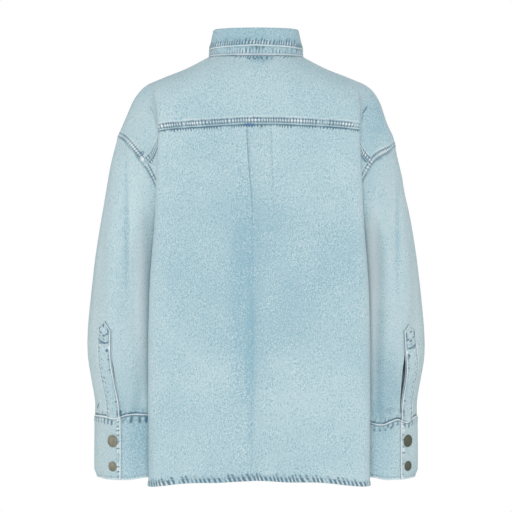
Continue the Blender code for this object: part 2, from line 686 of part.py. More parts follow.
def seated(line, height, lift):
    """A place on an upward line in the middle plane, raised in front of it, and its direction."""
    i = np.searchsorted(line[:, 2], height) - 1
    along = unit(line[i + 1] - line[i])
    normal = np.cross([1.0, 0.0, 0.0], along)
    share = (height - line[i, 2]) / (line[i + 1, 2] - line[i, 2])
    return line[i] + share * (line[i + 1] - line[i]) + normal * lift, normal


def build():
    for old in list(bpy.data.objects):
        bpy.data.objects.remove(old)

    back_half, yoke_half = back_and_yoke()
    front_half, strip = front_halves()
    wing = yoke_front_rows()
    mesh_angles, mesh_rings = np.meshgrid(sleeve_angles(), RINGS)
    arms = {
        "left": sleeve_points(mesh_rings, mesh_angles, "twist_left"),
        "right": sleeve_points(mesh_rings, mesh_angles, "twist_right") * [-1, 1, 1],
    }

    # Every grid of the body runs upwards by row, and to the right as seen from outside by column.
    back, yoke = both_sides(back_half)[:, ::-1], both_sides(yoke_half)[:, ::-1]
    wings = [wing[::-1], mirrored(wing[::-1])]
    front_left, front_right = front_half, mirrored(front_half)
    skin = Skin([back, yoke, *wings, front_left, front_right, strip, arms["left"][:, ::-1], arms["right"]])

    neck = [yoke[-1], front_left[-1], front_right[-1], strip[-1], wings[0][:, 0], wings[1][:, -1]]
    neck = np.concatenate(neck)
    neck = neck[np.abs(neck[:, 0]) < NECK_HALF_WIDTH + 0.01]

    def panel(name, grids, *shape):
        add_panel(name, grids, skin, neck, *shape)

    panel("back_panel", [back], LAYER, 0.0, pleat_rise)
    panel("yoke", [yoke, *wings])
    panel("front_left", [strip[:, 1:], front_left])
    panel("front_right", [front_right])
    panel("front_band", [strip], DOUBLE, (LAYER + DOUBLE) / 2 + SEAM_GAP)

    add_strip("collar_stand", stand_points(), flip=True)
    add_strip("collar_leaf", leaf_points(), flip=True)
    for side, turned in (("left", 1.0), ("right", -1.0)):
        add_sleeve(side, arms[side], skin)
        add_placket(side, arms[side], skin)
        rise, around = np.meshgrid(np.linspace(0, 1, 4), CUFF_ANGLES, indexing="ij")
        cuff = cuff_points(rise, around, f"twist_{side}") * [turned, 1, 1]
        add_strip(f"cuff_{side}", cuff, flip=side == "right")
        for name, radius, share in CUFF_CAP_RISES:
            near = [cuff_points(share + d, CUFF_CAP_ANGLE + a, f"twist_{side}") for d, a in NEIGHBOURS]
            middle, left, right, low, high = [p * [turned, 1, 1] for p in near]
            normal = turned * unit(np.cross(right - left, high - low))
            add_cap(f"cuff_cap_{name}_{side}", radius, middle + normal * (DOUBLE / 2 + SEAM_GAP), normal)

    middle = strip[:, 3]
    band_lift = (LAYER + DOUBLE) / 2 + SEAM_GAP + DOUBLE / 2 + SEAM_GAP
    for number, height in enumerate(FRONT_CAP_HEIGHTS, 1):
        add_cap(f"front_cap_{number}", WIDE_CAP, *seated(middle, height, band_lift))
    stand_front = stand_points()[:, 1:3].mean(axis=1)
    lift = DOUBLE / 2 + SEAM_GAP
    add_cap("collar_cap", SMALL_CAP, *seated(stand_front, STAND_HEIGHT / 2 - NECK_DROP, lift))


if __name__ == "__main__":
    build()
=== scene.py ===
"""The finish of a loose denim shirt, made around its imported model.

The cloth surfaces follow the model's own formulas on finer grids, in millimetres: the front faces
-Y, +Z is up, the wearer's left is +X, and the origin is in the middle of the neck opening. Every
grid is one part of a single skin, so that neighbouring pieces share their points and directions.
Folds are troughs and ridges in that skin. Seams are ribbons that lie on it, with their own puckers.
"""

import bpy
import numpy as np
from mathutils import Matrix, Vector


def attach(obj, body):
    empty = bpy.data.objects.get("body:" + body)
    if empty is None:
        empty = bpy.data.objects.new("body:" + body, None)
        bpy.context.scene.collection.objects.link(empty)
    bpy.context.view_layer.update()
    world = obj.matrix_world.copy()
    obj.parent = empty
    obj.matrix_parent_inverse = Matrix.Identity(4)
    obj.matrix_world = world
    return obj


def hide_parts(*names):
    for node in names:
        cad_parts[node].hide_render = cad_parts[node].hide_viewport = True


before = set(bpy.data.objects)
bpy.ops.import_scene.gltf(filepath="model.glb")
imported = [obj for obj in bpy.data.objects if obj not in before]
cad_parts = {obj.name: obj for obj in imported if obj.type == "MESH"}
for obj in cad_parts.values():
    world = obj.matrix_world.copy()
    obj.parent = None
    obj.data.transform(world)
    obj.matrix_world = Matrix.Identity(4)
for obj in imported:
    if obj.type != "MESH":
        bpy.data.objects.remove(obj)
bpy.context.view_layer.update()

MM = 0.001
BODY = "root"

# Cloth walls: one layer, a doubled one, the gaps at seams, how far open edges stand back inside
# them, points that count as one, and the height of the stand's lower edge.
LAYER = 2.0
DOUBLE = 2.4
SEAM_GAP = 0.3
SEAM_SLACK = 0.04
WELD = 0.02
STAND_FOOT = 1.8

# The armhole, the neck seam and the closing. The shares are the parts of a row that the columns
# under the neck take up, and the squares are the powers of the rows' superellipses.
ARMHOLE_TOP = np.array([221.0, -5.0, -127.0])
UNDERARM = np.array([135.0, -5.0, -285.0])
ARMHOLE_HALF_DEPTH = 62.0
ARMHOLE_BOW = 19.0
YOKE_BACK_ANGLE = 67.1
YOKE_FRONT_ANGLE = 38.0
CHEST_ANGLE = 67.0
NECK_HALF_WIDTH = 75.0
NECK_BACK = 58.0
NECK_FRONT = 62.0
NECK_DROP = 50.0
YOKE_NECK_ANGLE = 118.0
BAND_HALF_WIDTH = 18.0
UNDERLAP = 14.0
NECK_SHARE_BACK = 0.30
NECK_SHARE_FRONT = 0.26
SQUARE_BACK = 3.6
SQUARE_FRONT = 2.3

# The rows just under the back panel's top row and under the chest line, and how many degrees they
# end below them on the armhole.
BELOW_LEVEL = 1.95
BELOW_ANGLE = 5.6

# The back's fold under the arm is tucked from this level on, over so many levels. It then turns
# further by this many degrees, and is hollowed this deep over its first part.
TUCK_LEVEL = 1.62
TUCK_FADE = 0.3
TUCK_TURN = 34
TUCK_HOLLOW = 4.0
TUCK_PART = 0.62

# The box pleat in the back panel.
PLEAT_HALF_WIDTH = 19.0
PLEAT_RISE = 2.4
PLEAT_TOP = -111.0
PLEAT_FOOT = -300.0

# The collar, the cuffs and the sleeves' slits. A ring is a place along a sleeve, from 0 at the
# armhole to 10 at the cuff. Where an end laps over another, they part over the lap's fade.
STAND_HEIGHT = 32.0
COLLAR_LEAN = 0.30
ROLL_RADIUS = 2.5
STAND_OVERLAP_ANGLE = 14.0
STAND_LAP_ANGLE = 150
STAND_LAP_FADE = 16
LEAF_END_ANGLE = 167.0
LEAF_FOOT = STAND_HEIGHT + 3 * SEAM_GAP
LEAF_TOP = STAND_HEIGHT + 9.5
CUFF_TOP = -574.0
CUFF_HEIGHT = 102.0
CUFF_LENGTH = 300.0
CUFF_CENTRE = (213, -47)
CUFF_LAP_SHARES = (0.35, 0.65)
CUFF_LAP_FADE = 0.22
CUFF_START_ANGLE = 54.0
SLIT_ANGLE = 80.0
PLACKET_TIP = (5.57, 427.1)
PLACKET_TIP_STEP = 0.02
PLACKET_SHOULDER_RING = 5.8
PLACKET_FOOT_RING = 9.97
PLACKET_EDGES = (414.0, 440.0)
PLACKET_LIFT = LAYER + 1.6 * SEAM_GAP
PLACKET_WIDTH = 26

# The press studs.
WIDE_CAP = 10.0
SMALL_CAP = 8.0
CAP_HEIGHT = 2.4
FRONT_CAP_HEIGHTS = (-92.0, -190.0, -288.0, -386.0, -484.0, -582.0)
CUFF_CAP_ANGLE = 426.0
CUFF_CAP_RISES = (("upper", WIDE_CAP, 0.61), ("lower", SMALL_CAP, 0.206))


def table(columns, *rows):
    """A short table as one array for each named column."""
    return dict(zip(columns.split(), np.array(rows, float).T))


# The body's rows by level: 0 at the hem, 1 at the underarm and 2 at the yoke's seams. Each has its
# middle, the fold beside the arm, and the degrees at which its cloth leaves the fold and arrives
# at the side seam or the armhole.
BACK = table(
    "level centre_z centre_y fold_x fold_y fold_z leave arrive",
    (0.0, -669, 117, 173.5, 60, -679, 0, 0),
    (0.3, -565, 119, 174.0, 60, -567, 0, 0),
    (0.6, -440, 120, 174.0, 60, -440, 4, 0),
    (0.8, -356, 119, 171.5, 62, -356, 30, 5),
    (1.0, -285, 117, 166.0, 68, -287, 45, 14),
    (1.5, -198, 115, 161.5, 80, -203, 28, -34),
    (2.0, -111, 111, 157.0, 86, -119, 0, 52),
)
FRONT = table(
    "level centre_z centre_y fold_x fold_y fold_z leave arrive",
    (0.0, -678, -126, 163.0, -30, -680, 0, 0),
    (0.3, -565, -129, 160.0, -34, -565, 0, 0),
    (0.6, -440, -134, 156.0, -42, -440, 6, 0),
    (0.8, -356, -138, 152.0, -60, -356, 26, 5),
    (1.0, -285, -138, 150.0, -76, -285, 42, 14),
    (1.5, -205, -131, 151.0, -84, -209, 26, -24),
    (2.0, -125, -113, 151.0, -76, -134, 0, 60),
)
# The side seam, and the shoulder's ridge from the neck to the armhole.
SIDE_SEAM = table(
    "level x y z",
    (0.0, 164, -15, -680),
    (0.3, 158, -14, -566),
    (0.6, 151, -12, -440),
    (0.8, 143, -9, -356),
    (1.0, 135, -5, -285),
)
RIDGE = table(
    "x y z",
    (75, 0, 0),
    (110, -1, -18),
    (150, -2, -34),
    (178, -3, -47),
    (194, -4, -64),
    (207, -5, -91),
    (221, -5, -127),
)
# The sleeve's rings from the armhole to the cuff: their outermost and innermost points, how deep
# and how square they are, how bowed and how slanted, and the degrees that each arm is twisted.
SLEEVE = table(
    "ring outer_x outer_z inner_x inner_z centre_y half_depth power bow skew "
    "twist_left twist_right",
    (0, 221.0, -127, 135, -285, -5, 62, 2.0, 19, 0.00, 0, 0),
    (1, 232.0, -172, 143, -300, -8, 61, 1.6, 7, 0.00, 1, 1),
    (2, 240.0, -217, 150, -317, -12, 62, 1.5, 2, 0.00, 3, 3),
    (3, 247.5, -262, 155, -341, -15, 62, 1.55, 0, 0.03, 4, 6),
    (4, 256.0, -322, 159, -378, -18, 63, 1.7, 0, 0.08, 4, 10),
    (5, 263.0, -380, 162, -418, -23, 61, 1.9, 0, 0.14, 6, 14),
    (6, 268.5, -437, 164, -460, -29, 57, 2.0, 0, 0.22, 6, 16),
    (7, 269.5, -480, 167, -494, -35, 52, 2.0, 0, 0.30, 4, 16),
    (8, 265.0, -517, 169, -523, -40, 46, 2.0, 0, 0.38, 0, 16),
    (9, 260.0, -550, 168, -551, -44, 39, 2.0, 0, 0.45, -3, 15),
    (10, 259.5, -574, 167, -574, -47, 33, 2.0, 0, 0.50, -4, 15),
)
# A cuff by its height, the collar leaf's free edge from the back to its point, and how many
# millimetres each slit stands open.
CUFF = table(
    "rise centre_x half_width centre_y half_depth skew",
    (0.0, 213.5, 47.0, -53, 30, 0.50),
    (0.5, 213.0, 47.5, -51, 32, 0.50),
    (1.0, 213.2, 46.5, -47, 33, 0.50),
)
LEAF_EDGE = table(
    "share angle out up",
    (0.00, 0, -1.8, 16.5),
    (0.35, 60, -1.6, 13.8),
    (0.60, 104, 1.5, 10.0),
    (0.80, 132, 20.0, -4.0),
    (1.00, 153, 46.0, -33.0),
)
SLIT_OPENING = table(
    "ring left right",
    (6.5, 0.0, 0.0),
    (7.3, 2.1, 5.8),
    (8.1, 0.8, 5.4),
    (9.0, 0.4, 2.6),
    (10.0, 0.3, 0.3),
)

# Where the fine grids' lines run, and how many the smaller grids have.
HEM_LEVELS = np.linspace(0, 1, 76)[:-1]
ARMHOLE_BACK = np.linspace(180, YOKE_BACK_ANGLE, 46)
ARMHOLE_YOKE_BACK = np.linspace(YOKE_BACK_ANGLE, 0, 28)
ARMHOLE_YOKE_FRONT = np.linspace(0, YOKE_FRONT_ANGLE, 13)
ARMHOLE_CHEST = np.linspace(YOKE_FRONT_ANGLE, CHEST_ANGLE, 10)
ARMHOLE_FRONT = np.linspace(CHEST_ANGLE, 180, 40)
SHOULDER_SHARES = np.linspace(0, 1, 48)
NECK_SHARES = np.linspace(0, 1, 17)[:-1]
BESIDE_PLEAT = np.concatenate([[0.0, 0.009, 0.018, 0.03], NECK_SHARES[1:]])
BACK_SHARES = np.concatenate(
    [BESIDE_PLEAT * NECK_SHARE_BACK, NECK_SHARE_BACK + (1 - NECK_SHARE_BACK) * SHOULDER_SHARES]
)
FRONT_SHARES = np.concatenate(
    [NECK_SHARES * NECK_SHARE_FRONT, NECK_SHARE_FRONT + (1 - NECK_SHARE_FRONT) * SHOULDER_SHARES]
)
PLEAT_COLUMNS = np.array([0.0, 4.0, 8.0, 12.0, 15.0, 17.0, 17.9, 18.6])
BAND_COLUMNS = np.array(
    [-BAND_HALF_WIDTH, -UNDERLAP, -10.0, -5.0, 0.0, 5.0, 10.0, UNDERLAP, BAND_HALF_WIDTH]
)
RINGS = np.linspace(0, 10, 100)
STAND_COLUMNS = 380
LEAF_COLUMNS = 460
LEAF_ROWS = 44
BAND_ROWS = 440
HEM_ROWS = len(HEM_LEVELS)

# How many of a grid's rows beside a seam are read for its ribbon, and which of the stand's columns
# are in the middle of the front.
NEAR = 14
STAND_FRONT = slice(8, 30)

# Where pieces' cloth coordinates start, so that neighbours don't share their flecks: a step from
# one part of the skin to the next, and the start for small pieces, plackets and curved seams.
SKIN_STEP = 130.0
SMALL_START = 70.0
PLACKET_START = 210.0
SEAM_START = 300.0

# A grid's channels: place, direction, cloth coordinates, whitened wear and retained indigo. The
# indigo channel also carries painted shade beside raised edges, along stitch rows and under the
# pleat's edges.
PLACE, DIRECTION, CLOTH, WEAR, DEEP = slice(0, 3), slice(3, 6), slice(6, 8), 8, 9


# ---- curves ----


def smooth(at, knots, values):
    """A cubic through the values, whose slope at each knot comes from the knots on either side."""
    slopes = np.gradient(values, knots)
    i = np.clip(np.searchsorted(knots, at, side="right") - 1, 0, len(knots) - 2)
    step = knots[i + 1] - knots[i]
    t = (at - knots[i]) / step
    start = values[i] * (1 + 2 * t) * (1 - t) ** 2 + slopes[i] * step * t * (1 - t) ** 2
    end = values[i + 1] * (3 - 2 * t) * t**2 - slopes[i + 1] * step * (1 - t) * t**2
    return start + end


def smooth_table(columns, at, key):
    """Every column of a table, read smoothly at these values of its column key."""
    return {name: smooth(at, columns[key], values) for name, values in columns.items()}


def ease(t):
    """0 to 1, level at both ends."""
    t = np.clip(t, 0, 1)
    return t * t * (3 - 2 * t)


def ramp(at, start, over):
    """From 0 at start to 1 past it by over, level at both ends. Over below 0 points downwards."""
    return ease((at - start) / over)


def bell(at, middle, half):
    """1 in the middle, falling off on both sides, to about a third at this distance from it."""
    return np.exp(-(((at - middle) / half) ** 2))


def unit(vectors):
    """Vectors drawn out or in to a length of one."""
    return vectors / np.maximum(np.linalg.norm(vectors, axis=-1, keepdims=True), 1e-9)


def wander(at, pitch, seed):
    """A smooth random line between -1 and 1, with a new value every pitch: cubics between them."""
    knots = np.arange(np.floor(np.min(at) / pitch) - 1, np.ceil(np.max(at) / pitch) + 3)
    values = np.random.default_rng(seed).uniform(-1, 1, len(knots))
    return smooth(at / pitch, knots, values)


def cubic(t, start, near, far, end):
    """A curve from start, where it heads for near, to end, where it comes from far."""
    first, second = (1 - t) ** 3 * start, 3 * t * (1 - t) ** 2 * near
    return first + second + 3 * t * t * (1 - t) * far + t**3 * end


def bezier(foot, foot_pull, top, top_pull, t):
    """Cubic columns from foot to top, with one row for each t."""
    return cubic(t[:, None, None], foot, foot + foot_pull, top - top_pull, top)


def lengths(points, axis=0):
    """The distance to each point along its line, or along a grid's columns (axis 0) or rows."""
    steps = np.linalg.norm(np.diff(points, axis=axis), axis=-1)
    return np.insert(np.cumsum(steps, axis=axis), 0, 0.0, axis=axis)


def read_line(at, knots, line):
    """A line at these places, by straight steps, where its own points stand at the knots."""
    return np.stack([np.interp(at, knots, line[:, k]) for k in range(3)], axis=-1)


def at_shares(line, shares):
    """Points of a line at these shares of its length."""
    run = lengths(line)
    return read_line(shares * run[-1], run, line)


def stations(length, first, last, fine, coarse):
    """Shares of a length, closely spaced near its two ends and further apart between them."""
    start = np.arange(0, first, fine)
    end = length - np.arange(0, last, fine)[::-1]
    between = np.linspace(first, length - last, int((length - first - last) / coarse) + 2)
    return np.concatenate([start, between[:-1] if last else between, end]) / length


def beyond(line, width, shares):
    """Points of a half row at these shares of its length past a place this far from the middle."""
    edge = at_widths(line, np.array([width]))
    return at_shares(np.concatenate([edge, line[line[:, 0] > width]]), shares)


def neck_angle(widths):
    """Degrees round the neck seam from the middle, at these distances from it."""
    return np.degrees(np.arcsin(widths / NECK_HALF_WIDTH))


def at_widths(line, widths):
    """Points of a half row where it is this far from the middle, mirrored on its other side."""
    points = read_line(np.abs(widths), line[:, 0], line)
    points[:, 0] = widths
    return points


# ---- the skin's form ----


def bow_shape(sine):
    """0 to 1 by a sine of 0 to 1: level at first, and soon in step with it."""
    return sine**2 / (0.12 + 0.88 * sine)


def armhole(angle):
    """The armhole seam, by degrees from its top: positive behind, negative in front."""
    turn = np.radians(angle)[..., None]
    point = UNDERARM + (1 + np.cos(turn)) / 2 * (ARMHOLE_TOP - UNDERARM)
    drawn_in = ARMHOLE_BOW * bow_shape(np.abs(np.sin(turn)))
    return point + np.concatenate([-drawn_in, ARMHOLE_HALF_DEPTH * np.sin(turn), 0 * turn], axis=-1)


def neckline(angle):
    """The neck seam by degrees round from the middle of the back: level there, dipping in front."""
    turn = np.radians(angle)
    forward = np.minimum(np.cos(turn), 0)
    deep = np.where(np.cos(turn) > 0, NECK_BACK, NECK_FRONT)
    across = NECK_HALF_WIDTH * np.sin(turn)
    return np.stack([across, deep * np.cos(turn), -NECK_DROP * forward**2], axis=-1)


def half_rows(side, levels, ends, facing, square):
    """Dense half rows of the back (facing 1) or the front (facing -1).

    A superellipse runs from the middle to the fold, and a cubic from there to the row's end. High
    up behind the arm, the cubic is tucked: it turns sharply under the fold, is hollowed there, and
    comes out to the armhole facing backwards.
    """
    v = smooth_table(side, levels[:, None], "level")
    a = np.linspace(0, np.pi / 2, 240)
    flat_x = v["fold_x"] * np.sin(a) ** (2 / square)
    flat_y = v["fold_y"] + (v["centre_y"] - v["fold_y"]) * np.cos(a) ** (2 / square)
    flat_z = v["centre_z"] + (v["fold_z"] - v["centre_z"]) * (flat_x / v["fold_x"]) ** 2
    t = np.linspace(0, 1, 160)[1:]
    gap = np.hypot(ends[:, :1] - v["fold_x"], ends[:, 1:2] - v["fold_y"])
    leave, arrive = np.radians(v["leave"]), np.radians(v["arrive"])
    tucked = ramp(levels, TUCK_LEVEL, TUCK_FADE)[:, None] * (facing > 0)
    leave_pull, arrive_pull = (0.4 + 0.42 * tucked) * gap, (0.4 + 0.3 * tucked) * gap
    arrive = arrive + np.radians(TUCK_TURN) * tucked
    near_x = v["fold_x"] - leave_pull * np.sin(leave)
    near_y = v["fold_y"] - facing * leave_pull * np.cos(leave)
    far_x = ends[:, :1] - arrive_pull * np.sin(arrive)
    far_y = ends[:, 1:2] + facing * arrive_pull * np.cos(arrive)
    hollow = TUCK_HOLLOW * np.sin(np.pi * np.clip(t / TUCK_PART, 0, 1)) ** 2
    turn_x = cubic(t, v["fold_x"], near_x, far_x, ends[:, :1]) - hollow * tucked
    turn_y = cubic(t, v["fold_y"], near_y, far_y, ends[:, 1:2])
    dropped = t * (2 - t) + (t**1.1 - t * (2 - t)) * tucked
    turn_z = v["fold_z"] + (ends[:, 2:] - v["fold_z"]) * dropped
    pairs = (flat_x, turn_x), (flat_y, turn_y), (flat_z, turn_z)
    return np.stack([np.concatenate(pair, axis=1) for pair in pairs], axis=-1)


def side_seam(levels):
    """The side seam's points at these levels, from the hem to the underarm."""
    return np.stack([smooth(levels, SIDE_SEAM["level"], SIDE_SEAM[k]) for k in "xyz"], axis=-1)


def body_levels(angles, top_angle, hem_levels):
    """The levels and end points of the rows: up the side seam, then up the armhole."""
    levels = np.concatenate([hem_levels, 1 + (180 - np.abs(angles)) / (180 - top_angle)])
    ends = np.concatenate([side_seam(hem_levels), armhole(angles)])
    return levels, ends


def ridge(shares):
    """The top of the shoulder, as a smooth line by shares of its length from the neck."""
    points = np.stack([RIDGE[k] for k in "xyz"], axis=-1)
    run = lengths(points)
    dense = np.linspace(0, run[-1], 400)
    line = np.stack([smooth(dense, run, points[:, k]) for k in range(3)], axis=-1)
    return at_shares(line, shares)


def front_seam(shares):
    """The yoke's front seam: the ridge carried forwards and down, from the neck to the armhole."""
    start = neckline(np.array(YOKE_NECK_ANGLE)) - neckline(np.array(90.0))
    end = armhole(np.array(-YOKE_FRONT_ANGLE)) - ARMHOLE_TOP
    middle = np.array([-4.0, -42.0, -17.0])
    u = shares[:, None]
    return ridge(shares) + (1 - u) ** 2 * start + 2 * u * (1 - u) * middle + u * u * end


def meet(grid, edge, column, shares):
    """Draws a grid's first or last column onto a known curve, and fades the change across it."""
    fade = ease(1 - shares / 0.3) if column == 0 else ease((shares - 0.7) / 0.3)
    return grid + (edge - grid[:, column])[:, None] * fade[None, :, None]


def back_row(line):
    """A back row's points: to the pleat's edge by width, and beyond it by share."""
    past_pleat = beyond(line, PLEAT_HALF_WIDTH, BACK_SHARES)
    return np.concatenate([at_widths(line, PLEAT_COLUMNS), past_pleat])


def back_half():
    """Half of the back panel, up from the hem by row and out from the middle by column."""
    levels, ends = body_levels(ARMHOLE_BACK, YOKE_BACK_ANGLE, HEM_LEVELS)
    return np.stack([back_row(line) for line in half_rows(BACK, levels, ends, 1, SQUARE_BACK)])


def yoke_half(foot):
    """Half of the yoke behind the ridge, from the back panel's top row up to the neck and ridge."""
    end = armhole(np.array([YOKE_BACK_ANGLE + BELOW_ANGLE]))
    below = back_row(half_rows(BACK, np.array([BELOW_LEVEL]), end, 1, SQUARE_BACK)[0])
    edge = neck_angle(PLEAT_HALF_WIDTH)
    over_pleat, beside_pleat = neck_angle(PLEAT_COLUMNS), edge + BESIDE_PLEAT * (90 - edge)
    top = [neckline(over_pleat), neckline(beside_pleat), ridge(SHOULDER_SHARES)]
    top = np.concatenate(top)
    shares = np.concatenate([0 * PLEAT_COLUMNS, BACK_SHARES])
    reach = np.linalg.norm(top - foot, axis=1)[:, None]
    lean = 0.75 * np.clip(1 - shares / NECK_SHARE_BACK, 0, 1)
    into = unit(np.stack([0 * lean, -1 + 0 * lean, lean], axis=-1))
    rise = (YOKE_BACK_ANGLE - ARMHOLE_YOKE_BACK) / YOKE_BACK_ANGLE
    grid = bezier(foot, unit(foot - below) * reach * 0.38, top, into * reach * 0.42, rise)
    return meet(grid, armhole(ARMHOLE_YOKE_BACK), -1, shares)


def yoke_wing():
    """The yoke's front half on one shoulder, from the ridge down to its front seam."""
    shares = SHOULDER_SHARES
    top, foot = ridge(shares), front_seam(shares)
    reach = np.linalg.norm(top - foot, axis=1)[:, None]
    level, down = np.array([0.0, -1.0, 0.0]), unit(np.array([0.0, -0.6, -0.8]))
    fall = ARMHOLE_YOKE_FRONT / YOKE_FRONT_ANGLE
    grid = bezier(top, level * reach * 0.35, foot, down * reach * 0.35, fall)
    grid = meet(grid, neckline(90 + fall * (YOKE_NECK_ANGLE - 90)), 0, shares)
    return meet(grid, armhole(-ARMHOLE_YOKE_FRONT), -1, shares)


def chest_rows(foot, below, top, shares, angles):
    """The front panel above the chest line, up to the neck seam and the yoke's front seam."""
    reach = np.linalg.norm(top - foot, axis=1)[:, None]
    into = unit(np.array([0.0, 0.62, 0.78]))
    rise = (CHEST_ANGLE - angles) / (CHEST_ANGLE - YOKE_FRONT_ANGLE)
    grid = bezier(foot, unit(foot - below) * reach * 0.38, top, into * reach * 0.36, rise)
    return grid if shares is None else meet(grid, armhole(-angles), -1, shares)


def front_lines(hem_levels, angles):
    """The front's dense half rows up to the chest line, and the one just below that line."""
    levels, ends = body_levels(-angles, CHEST_ANGLE, hem_levels)
    end = armhole(np.array([-CHEST_ANGLE - BELOW_ANGLE]))
    just_below = half_rows(FRONT, np.array([BELOW_LEVEL]), end, -1, SQUARE_FRONT)[0]
    return half_rows(FRONT, levels, ends, -1, SQUARE_FRONT), just_below


def front_half():
    """A front panel beyond the middle strip, by share of its rows' length."""
    lines, just_below = front_lines(HEM_LEVELS, ARMHOLE_FRONT[::-1])
    panel = np.stack([beyond(line, BAND_HALF_WIDTH, FRONT_SHARES) for line in lines])
    edge = 180 - neck_angle(BAND_HALF_WIDTH)
    beside_band = neckline(edge + NECK_SHARES * (YOKE_NECK_ANGLE - edge))
    top = np.concatenate([beside_band, front_seam(SHOULDER_SHARES)])
    below = beyond(just_below, BAND_HALF_WIDTH, FRONT_SHARES)
    chest = chest_rows(panel[-1], below, top, FRONT_SHARES, ARMHOLE_CHEST[::-1])
    return np.concatenate([panel, chest[1:]])


def middle_strip(hem_levels, widths, angles, chest_angles):
    """The strip under and over the closing, by distance from the middle plane."""
    lines, just_below = front_lines(hem_levels, angles)
    strip = np.stack([at_widths(line, widths) for line in lines])
    top = neckline(180 - neck_angle(widths))
    chest = chest_rows(strip[-1], at_widths(just_below, widths), top, None, chest_angles)
    return np.concatenate([strip, chest[1:]])


def sleeve_points(rings, angles, twist):
    """The sleeve by ring and by degrees round from its outside: each ring is a superellipse."""
    v = smooth_table(SLEEVE, rings, "ring")
    turn = np.radians(angles - v[twist])
    sharp = np.where(np.cos(turn) < 0, 2 / v["power"], 1)
    out = np.sign(np.cos(turn)) * np.abs(np.cos(turn)) ** sharp
    deep = np.sign(np.sin(turn)) * np.abs(np.sin(turn)) ** sharp
    reach = (v["outer_x"] - v["inner_x"]) / 2 * out
    x = (v["outer_x"] + v["inner_x"]) / 2 + reach - v["bow"] * bow_shape(np.abs(deep))
    y = v["centre_y"] + v["half_depth"] * deep - v["skew"] * reach
    z = (v["outer_z"] + v["inner_z"]) / 2 + (v["outer_z"] - v["inner_z"]) / 2 * out
    return np.stack([x, y, z], axis=-1)


def sleeve_angles():
    """Once round the armhole from the slit's line behind, over the underarm, to it again."""
    behind = ARMHOLE_BACK[ARMHOLE_BACK > SLIT_ANGLE][::-1]
    above_slit = ARMHOLE_BACK[ARMHOLE_BACK < SLIT_ANGLE]
    behind_top = 360 + np.concatenate([above_slit, ARMHOLE_YOKE_BACK[1:]])[::-1][1:]
    below_front = 360 - ARMHOLE_FRONT[::-1][1:]
    front_top = 360 - np.concatenate([ARMHOLE_CHEST[::-1][1:], ARMHOLE_YOKE_FRONT[::-1][1:]])
    first, last = [SLIT_ANGLE], [360 + SLIT_ANGLE]
    return np.concatenate([first, behind, below_front, front_top, behind_top, last])


def cuff_points(rise, angles, twist):
    """A cuff as a strip: its first end lies under its last one, as both close on each other."""
    v = smooth_table(CUFF, rise, "rise")
    turn = np.radians(angles - SLEEVE[twist][-1])
    share = (angles - CUFF_START_ANGLE) / (SLIT_ANGLE + 360 - CUFF_START_ANGLE)
    first, last = CUFF_LAP_SHARES
    over, under = ramp(share, last, CUFF_LAP_FADE), ramp(share, first, -CUFF_LAP_FADE)
    away = (DOUBLE + SEAM_GAP) / 2 * (over - under)
    x = (v["half_width"] + away) * np.cos(turn)
    y = v["centre_y"] + (v["half_depth"] + away) * np.sin(turn) - v["skew"] * x
    z = CUFF_TOP - 2 * SEAM_GAP - CUFF_HEIGHT * (1 - rise)
    return np.stack([v["centre_x"] + x, y, z + 0 * x], axis=-1)


def collar_points(angle, out, up):
    """A point by degrees round from the back, and how far it is out from the neck seam and up."""
    turn = np.radians(angle)
    offset = [out * np.sin(turn), out * np.cos(turn), up + 0 * turn]
    return neckline(angle) + np.stack(offset, axis=-1)


def stand_points():
    """The collar stand as a strip, whose right end laps over its left end in front."""
    angle = np.linspace(-180 - STAND_OVERLAP_ANGLE, 180 + STAND_OVERLAP_ANGLE, STAND_COLUMNS)
    up = STAND_FOOT + (STAND_HEIGHT - STAND_FOOT) * stations(30, 9, 0, 1.0, 2.0)[:, None]
    over, under = (ramp(side * angle, STAND_LAP_ANGLE, STAND_LAP_FADE) for side in (-1, 1))
    away = (DOUBLE + SEAM_GAP) / 2 * (over - under)
    return collar_points(angle + 0 * up, away - COLLAR_LEAN * up, up)


def leaf_points():
    """The collar leaf: up from the stand's top, over a small roll, and down to its free edge."""
    share = np.linspace(-1, 1, LEAF_COLUMNS)
    v = smooth_table(LEAF_EDGE, np.abs(share), "share")
    around = share * LEAF_END_ANGLE
    up = np.linspace(LEAF_FOOT, LEAF_TOP, 6)[:-1]
    rising = [collar_points(around, -COLLAR_LEAN * h + 0 * around, h) for h in up]
    roll = []
    for turn in np.linspace(np.pi, 0, 10):
        out = -COLLAR_LEAN * LEAF_TOP + ROLL_RADIUS * (1 + np.cos(turn))
        roll.append(collar_points(around, out, LEAF_TOP + ROLL_RADIUS * np.sin(turn)))
    edge = collar_points(np.sign(share) * v["angle"], v["out"], v["up"])
    falls = np.linspace(0, 1, LEAF_ROWS - len(up) - len(roll) + 1)[1:]
    return np.stack(rising + roll + [roll[-1] + fall * (edge - roll[-1]) for fall in falls])


# ---- folds and hang ----

